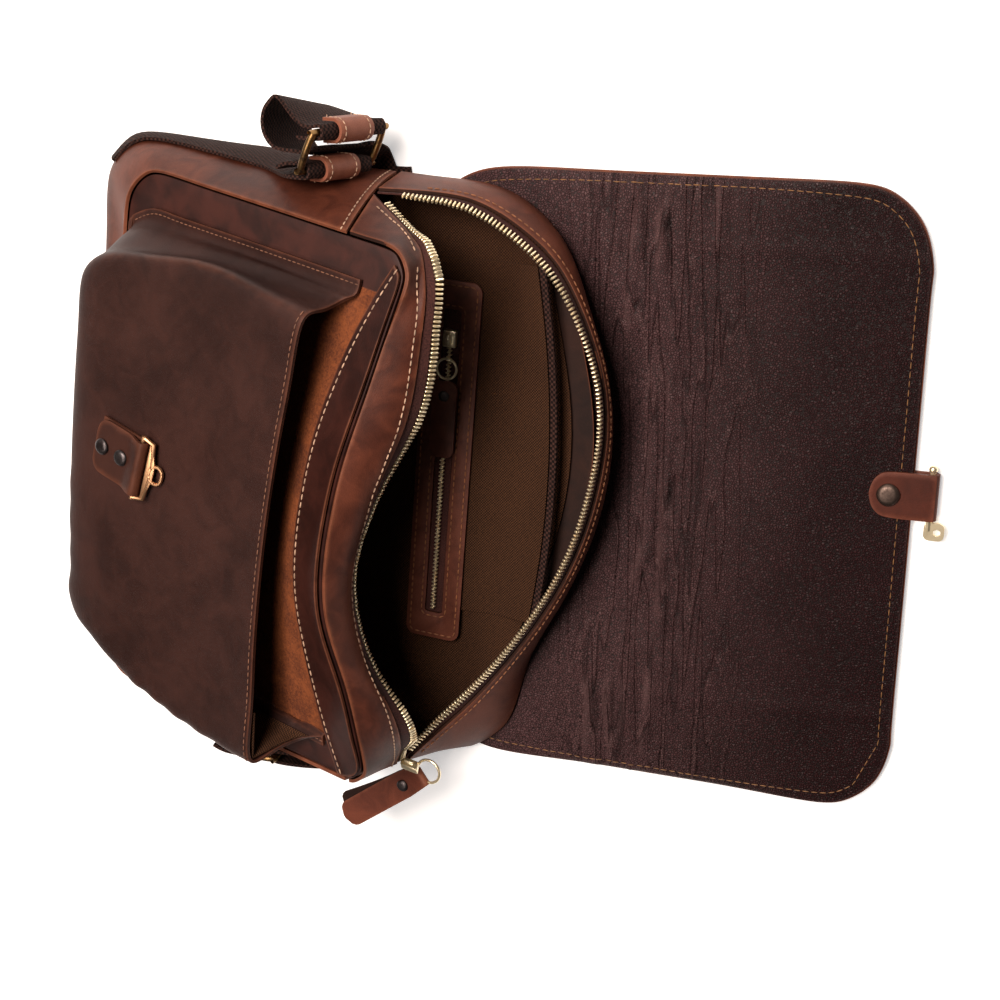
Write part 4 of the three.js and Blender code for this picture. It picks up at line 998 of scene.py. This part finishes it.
teeth_row("inner_zip_teeth", INNER_TOOTH, places)
cast_copy("inner_zip_slider", "cast", gold, edge=0.8)
cast_copy("inner_pull_ring", "wire", gold, edge=0, levels=2)
inner_pull = cast_copy("inner_pull_tab", "hide", welt_leather, edge=0.5)
cut_from(inner_pull, 18, 47, 7.8, "hung")
cast_copy("inner_pull_rivet", "cap", gunmetal, edge=0, levels=2)

# Strap anchors: webbing sewn down each side of the gusset, looped round a rectangular brass ring.
# A leather sleeve wraps each loop, and another wraps the strap's loop on the far wire.
antique_brass = metal("antique_brass", srgb(136, 106, 68), srgb(50, 38, 29), 0.3, 0.6)
for side in ("right", "left"):
    anchor = smooth_copy(f"webbing_{side}", f"webbing_{side}_weave", 2)
    map_flat(anchor)
    finish_piece(anchor, f"webbing_{side}", webbing_weave, edge=0)
    cut_from(anchor, 50, 190, 70, "folded")
    cast_copy(f"ring_{side}", "wire", antique_brass, edge=0, levels=2)
    wire = corners(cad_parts[f"ring_{side}"])
    bar = Vector(np.linalg.svd(wire - wire.mean(0))[2][0])
    for level in ("lower", "upper"):
        name = f"keeper_{side}_{level}"
        keeper = smooth_copy(name, f"{name}_hide", 2)
        middle = Vector(corners(keeper).mean(0)) / MM
        runs = [
            rim_run(keeper, lambda at, up, out: out.dot(bar) * end > 0.6 and up.dot(at - middle) > 0, 3.4)
            for end in (-1, 1)
        ]
        finish_piece(keeper, name, tan_leather)
        cut_from(keeper, 26, 38, 9.3, "folded")
        for count, run in enumerate(runs):
            stitch_row(f"{name}_stitches_{count}", keeper, run, cream_thread, 3.3, 0.75)

# Shoulder strap: one length of cotton webbing between the rings, running under the flap.
# It curls up where it leaves the right-hand ring.
strap = smooth_copy("shoulder_strap", "shoulder_strap_weave", 2)
map_flat(strap)
finish_piece(strap, "shoulder_strap", webbing_weave, edge=0)
cut_from(strap, 50, 1082, 541, "laid")

# Flap: the bag's cover, laid out on the floor with its lining up. The outside is the bag's own leather,
# and the lining a thin pebbled leather with long wrinkles where the flap folds over the mouth.
FLAP_DEEP = srgb(18, 8, 8)
FLAP_BASE = srgb(42, 17, 19)
# Paler colour for real wear at the cut rim, and for painted light on the wrinkles.
FLAP_WORN_AND_LIT = srgb(104, 78, 77)
# Colour of the painted sheen: the lamps' reflection, painted onto the pebble tops near the bag.
FLAP_PAINTED_SHEEN = srgb(108, 78, 79)
PEBBLE = 1.4
SLOPE_SHADE_GAIN = 3.0
FOLD_AT = 108.0
FOLD_SPREAD = 40.0
PLEAT_HIGH = 1.1
PLEAT_SHARP = 3.0
FLAT_SHARE = 0.06
WARP = 6.0
RIPPLE = 0.5
ROLL = 0.5
LIFT_LIMITS = (-0.8, 3.0)
WAVES = {
    # how long and how wide a wave is, and the layer of noise it is taken from
    "warp": (40, 40, 2.0),
    "pleat": (56, 10, 1.0),
    "ripple": (26, 7, 5.0),
    "roll": (60, 45, 8.0),
    "sway": (18, 7, 0.3),
}
# Where the painted sheen is full by the bag and where it has faded out, in mm down the flap.
PAINTED_SHEEN_START = 40.0
PAINTED_SHEEN_END = 215.0
LINES_PER_METRE = (10, 125, 10)
GROOVE = (0.5, 0.035)
CREST = (0.545, 0.03)
WRINKLES = [
    # x, y of the middle, half length, width, height
    (78, -126, 30, 3.6, 1.7),
    (-22, -125, 36, 3.4, 1.8),
    (-10, -115, 40, 3.2, 1.2),
    (30, -134, 34, 3.2, 0.9),
    (-70, -112, 30, 3.2, 1.2),
    (-66, -124, 26, 3.2, 1.1),
    (155, -104, 26, 3.6, 1.7),
    (150, -118, 24, 3.4, 1.2),
    (160, -150, 18, 4.0, 1.4),
    (-146, -84, 26, 3.4, 1.6),
    (-143, -97, 26, 3.4, 1.7),
    (-142, -107, 24, 3.2, 1.2),
    (-142, -120, 24, 3.4, 1.5),
]
BANDS = [
    # x where it starts by the bag, how far it drifts for each millimetre of y, width, height
    (142.0, 0.0, 4.0, 0.7),
    (-129.0, -0.065, 4.0, 0.7),
]
BAND_FROM = -75.0
SWAY = 2.4


def pebbled_leather(name, deep, base, worn, sheen_colour):
    """Grained leather: rounded pebbles with valleys darkened as painted shade, a painted sheen on the
    pebble tops that grows towards the bag, and painted light and shade on the wrinkles' slopes and on fine
    lines at the fold.
    """
    material, paint, place = new_finish(name)
    drift = paint.node("TexNoise", {}, {"Vector": place, "Scale": 260, "Detail": 2.0}, 1)
    bent = paint.node("VectorMath", {"operation": "MULTIPLY_ADD"}, {0: drift, 1: (0.0022,) * 3, 2: place})
    cells = bent.cells(PEBBLE)
    broad = place.clouds(22, 4.0)
    fibre = place.clouds(1500, 3.0)
    rub = paint.mark("rub")
    pebbles = cells.step(0.02, 0.3)
    # The wrinkles' marked tilt, for painted light and shade on their slopes.
    crease = paint.mark("crease")
    down = place.axis(1)
    specks = place.clouds(430, 4.0, 0.6).step(0.42, 0.66)
    # Painted sheen: the lamps' reflection on the flap near the bag, painted paler and fading towards the
    # free end.
    painted_sheen = (down + broad * (60 * MM)).step(-PAINTED_SHEEN_END * MM, -PAINTED_SHEEN_START * MM)
    highlit_tops = cells.step(0.0, 0.16) * (0.7 + specks * 0.3)
    by_fold = (down + (FOLD_AT + 2 * FOLD_SPREAD) * MM).step(0.0, FOLD_SPREAD * MM)
    by_fold = by_fold * (0 - down - (FOLD_AT - 1.5 * FOLD_SPREAD) * MM).step(0.0, FOLD_SPREAD * MM)
    # Fine lines at the fold: a painted highlight along the crests and painted shade along the grooves, with
    # a matching bump.
    contour = place.stretched(LINES_PER_METRE).clouds(1.0, 1.0, 0.25)
    grooves, crests = (
        (1 - (contour - level).taken("ABSOLUTE").step(0.0, width)) * by_fold
        for level, width in (GROOVE, CREST)
    )
    # The leather's clouded tone, with the pebble valleys darkened as painted shade.
    dye = (broad * 0.4 + pebbles * 0.6).step(0.15, 0.85).tint(deep, base)
    # The painted sheen lightens the pebble tops.
    dye = (highlit_tops * (0.02 + painted_sheen * 0.5)).tint(dye, sheen_colour)
    # Towards the paler colour: painted light on slopes that face the lamps and on the fine crests at the
    # fold, and real wear at the cut rim (rub, which on the wrinkles' crests is also a painted highlight).
    dye = (crease.step(0.2, 0.9) * 0.3 + rub * 0.2 + crests * highlit_tops * 0.4).tint(dye, worn)
    # Towards the deep colour: painted shade on slopes that face away from the lamps and in the fine grooves
    # at the fold.
    dye = ((0 - crease).step(0.15, 0.9) * 0.45 + grooves * 0.55).tint(dye, deep)
    polish = 0.44 - pebbles * 0.08 + fibre * 0.06
    height = pebbles + broad * 2.0 + fibre * 0.1 + crests * 0.8 - grooves
    surface(paint, dye, polish, height, 0.3, {"Specular IOR Level": 0.14})
    return material


def wave(kind, x, y):
    """Soft noise from about -1 to 1 at a place on the flap, for one kind of wave."""
    long, wide, layer = WAVES[kind]
    return noise.noise(Vector((x / long, y / wide, layer)))


flap_outer = smooth_copy("flap_outer", "flap_outer_hide", 3)
finish_piece(flap_outer, "flap_outer", bag_leather, reach=1.5)
cut_from(flap_outer, 360, 287, 1008, "laid")
flap_lining = smooth_copy("flap_lining", "flap_lining_hide", 4)
points = corners(flap_lining) / MM
lift = np.zeros(len(points))
for x, y, half, width, height in WRINKLES:
    sway = SWAY * np.array([wave("sway", px, y) for px in points[:, 0]])
    across = (points[:, 1] - y - sway) / (0.5 * width)
    crest = np.exp(-(across**2)) - 0.5 * np.exp(-((across - 1.9) ** 2))
    lift += height * crest * np.clip(1.4 - ((points[:, 0] - x) / half) ** 2, 0, 1)
for x, drift, width, height in BANDS:
    across = (points[:, 0] - x - drift * (points[:, 1] - BAND_FROM)) / width
    lift += height * np.exp(-(across**2)) * np.clip((BAND_FROM - points[:, 1]) / 20, 0, 1)
for index, (px, py, _) in enumerate(points):
    fold = math.exp(-(((py + FOLD_AT) / FOLD_SPREAD) ** 2))
    warped = py + WARP * wave("warp", px, py)
    pleat = max(0.0, 1 - PLEAT_SHARP * abs(wave("pleat", px, warped))) ** 2
    pleat += RIPPLE * wave("ripple", px, warped)
    lift[index] += PLEAT_HIGH * (FLAT_SHARE + (1 - FLAT_SHARE) * fold) * pleat + ROLL * wave("roll", px, py)
points[:, 2] += np.clip(lift, *LIFT_LIMITS)
# Painted light and shade on the wrinkles: each point's tilt across the flap is marked as "crease", and the
# shader paints slopes that face the lamps paler and the others darker.
level = np.array([vertex.normal for vertex in flap_lining.data.vertices])
move_corners(flap_lining, points * MM)
lean = (np.array([vertex.normal for vertex in flap_lining.data.vertices]) - level)[:, 1]
marks = flap_lining.data.attributes.new("crease", "FLOAT", "POINT")
marks.data.foreach_set("value", np.clip(lean * SLOPE_SHADE_GAIN, -1, 1).astype(np.float32))
flap_edge = rim_run(flap_lining, lambda at, up, out: up.z > 0.3 and at.y < 10, 6.0, reach=40)
flap_pebble = pebbled_leather("flap_pebble", FLAP_DEEP, FLAP_BASE, FLAP_WORN_AND_LIT, FLAP_PAINTED_SHEEN)
# Its rub marks hold the rim's wear and, on the wrinkles' crests, a painted highlight.
finish_piece(flap_lining, "flap_lining", flap_pebble, reach=1.5, fold=6.0)
cut_from(flap_lining, 358, 285, 995, "laid", ["flap_outer_hide"])
flap_thread = thread_finish("flap_thread", srgb(142, 100, 60))
stitch_row("flap_stitches", flap_lining, flap_edge, flap_thread, 5.0, 0.68)

# Flap tab: a leather tab folded over the flap's free end round the hook's bar, held by one capped rivet.
# The hook turns on its bar and snaps into the loop on the pocket.
FLAP_TAB_DEEP = srgb(64, 26, 15)
FLAP_TAB_BASE = srgb(90, 40, 25)
flap_tab_leather = hide_leather("flap_tab_leather", FLAP_TAB_DEEP, FLAP_TAB_BASE, TAN_BASE, pore=0.8)
flap_tab = smooth_copy("flap_tab", "flap_tab_hide", 2)
finish_piece(flap_tab, "flap_tab", flap_tab_leather)
cut_from(flap_tab, 26, 80, 20.5, "folded")
cap_bronze = metal("cap_bronze", srgb(104, 88, 80), srgb(54, 44, 40), 0.4, 0.5)
cast_copy("flap_cap", "cast", cap_bronze, edge=0, levels=2)
cast_copy("flap_clasp", "cast", gold, "flap_hook", edge=0.25)

# Studio: a plain pale floor, a dim white surround and two soft lamps.
# The camera stands where the photograph was taken from.
FLOOR_SIZE = 6.0
FLOOR_DROP = 0.0004
FLOOR_GLOW = 0.45
SURROUND = 0.04
WHITE = (1.0, 1.0, 1.0, 1.0)
bpy.ops.mesh.primitive_plane_add(size=FLOOR_SIZE, location=(0, 0, cad_box[0].z - FLOOR_DROP))
floor = bpy.context.object
floor.name = "floor"
material, paint, _ = new_finish("pale_floor")
shader = paint.node("BsdfPrincipled", {}, {
    "Base Color": (0.92, 0.92, 0.92, 1), "Roughness": 0.9,
    "Emission Color": WHITE, "Emission Strength": FLOOR_GLOW,
})
paint.node("OutputMaterial", {}, {"Surface": shader})
floor.data.materials.append(material)

world = bpy.data.worlds.new("white_surround")
bpy.context.scene.world = world
world.use_nodes = True
backdrop = world.node_tree.nodes["Background"].inputs
backdrop["Color"].default_value = WHITE
backdrop["Strength"].default_value = SURROUND
bpy.context.scene.view_settings.view_transform = "Standard"

WARM_LIGHT = (1.0, 0.88, 0.8)
LAMPS = [
    # name, place, aimed at, size, watts
    ("key_lamp", (0.68, 0.22, 1.45), (0.0, 0.0, 0.05), 0.8, 37.0),
    ("sheen_lamp", (-0.3, 0.36, 1.4), (0.0, -0.1, 0.05), 0.35, 6.5),
]
for name, place, target, size, watts in LAMPS:
    lamp = bpy.data.objects.new(name, bpy.data.lights.new(name, "AREA"))
    lamp.data.size = size
    lamp.data.energy = watts
    lamp.data.color = WARM_LIGHT
    lamp.location = place
    lamp.rotation_euler = (Vector(target) - Vector(place)).to_track_quat("-Z", "Y").to_euler()
    bpy.context.collection.objects.link(lamp)

CAMERA_PLACE = (0.28162, -0.31921, 0.85488)
CAMERA_RIGHT = (0.006515, -0.944635, -0.328057)
CAMERA_UP = (0.949572, 0.108689, -0.294109)
CAMERA_BACK = (0.313482, -0.309597, 0.897707)
LENS = 57.6
SENSOR = 36.0
camera = bpy.data.objects.new("camera", bpy.data.cameras.new("camera"))
camera.data.lens = LENS
camera.data.sensor_width = SENSOR
turn = Matrix((CAMERA_RIGHT, CAMERA_UP, CAMERA_BACK)).transposed()
camera.matrix_world = Matrix.Translation(CAMERA_PLACE) @ turn.to_4x4()
bpy.context.collection.objects.link(camera)
bpy.context.scene.camera = camera
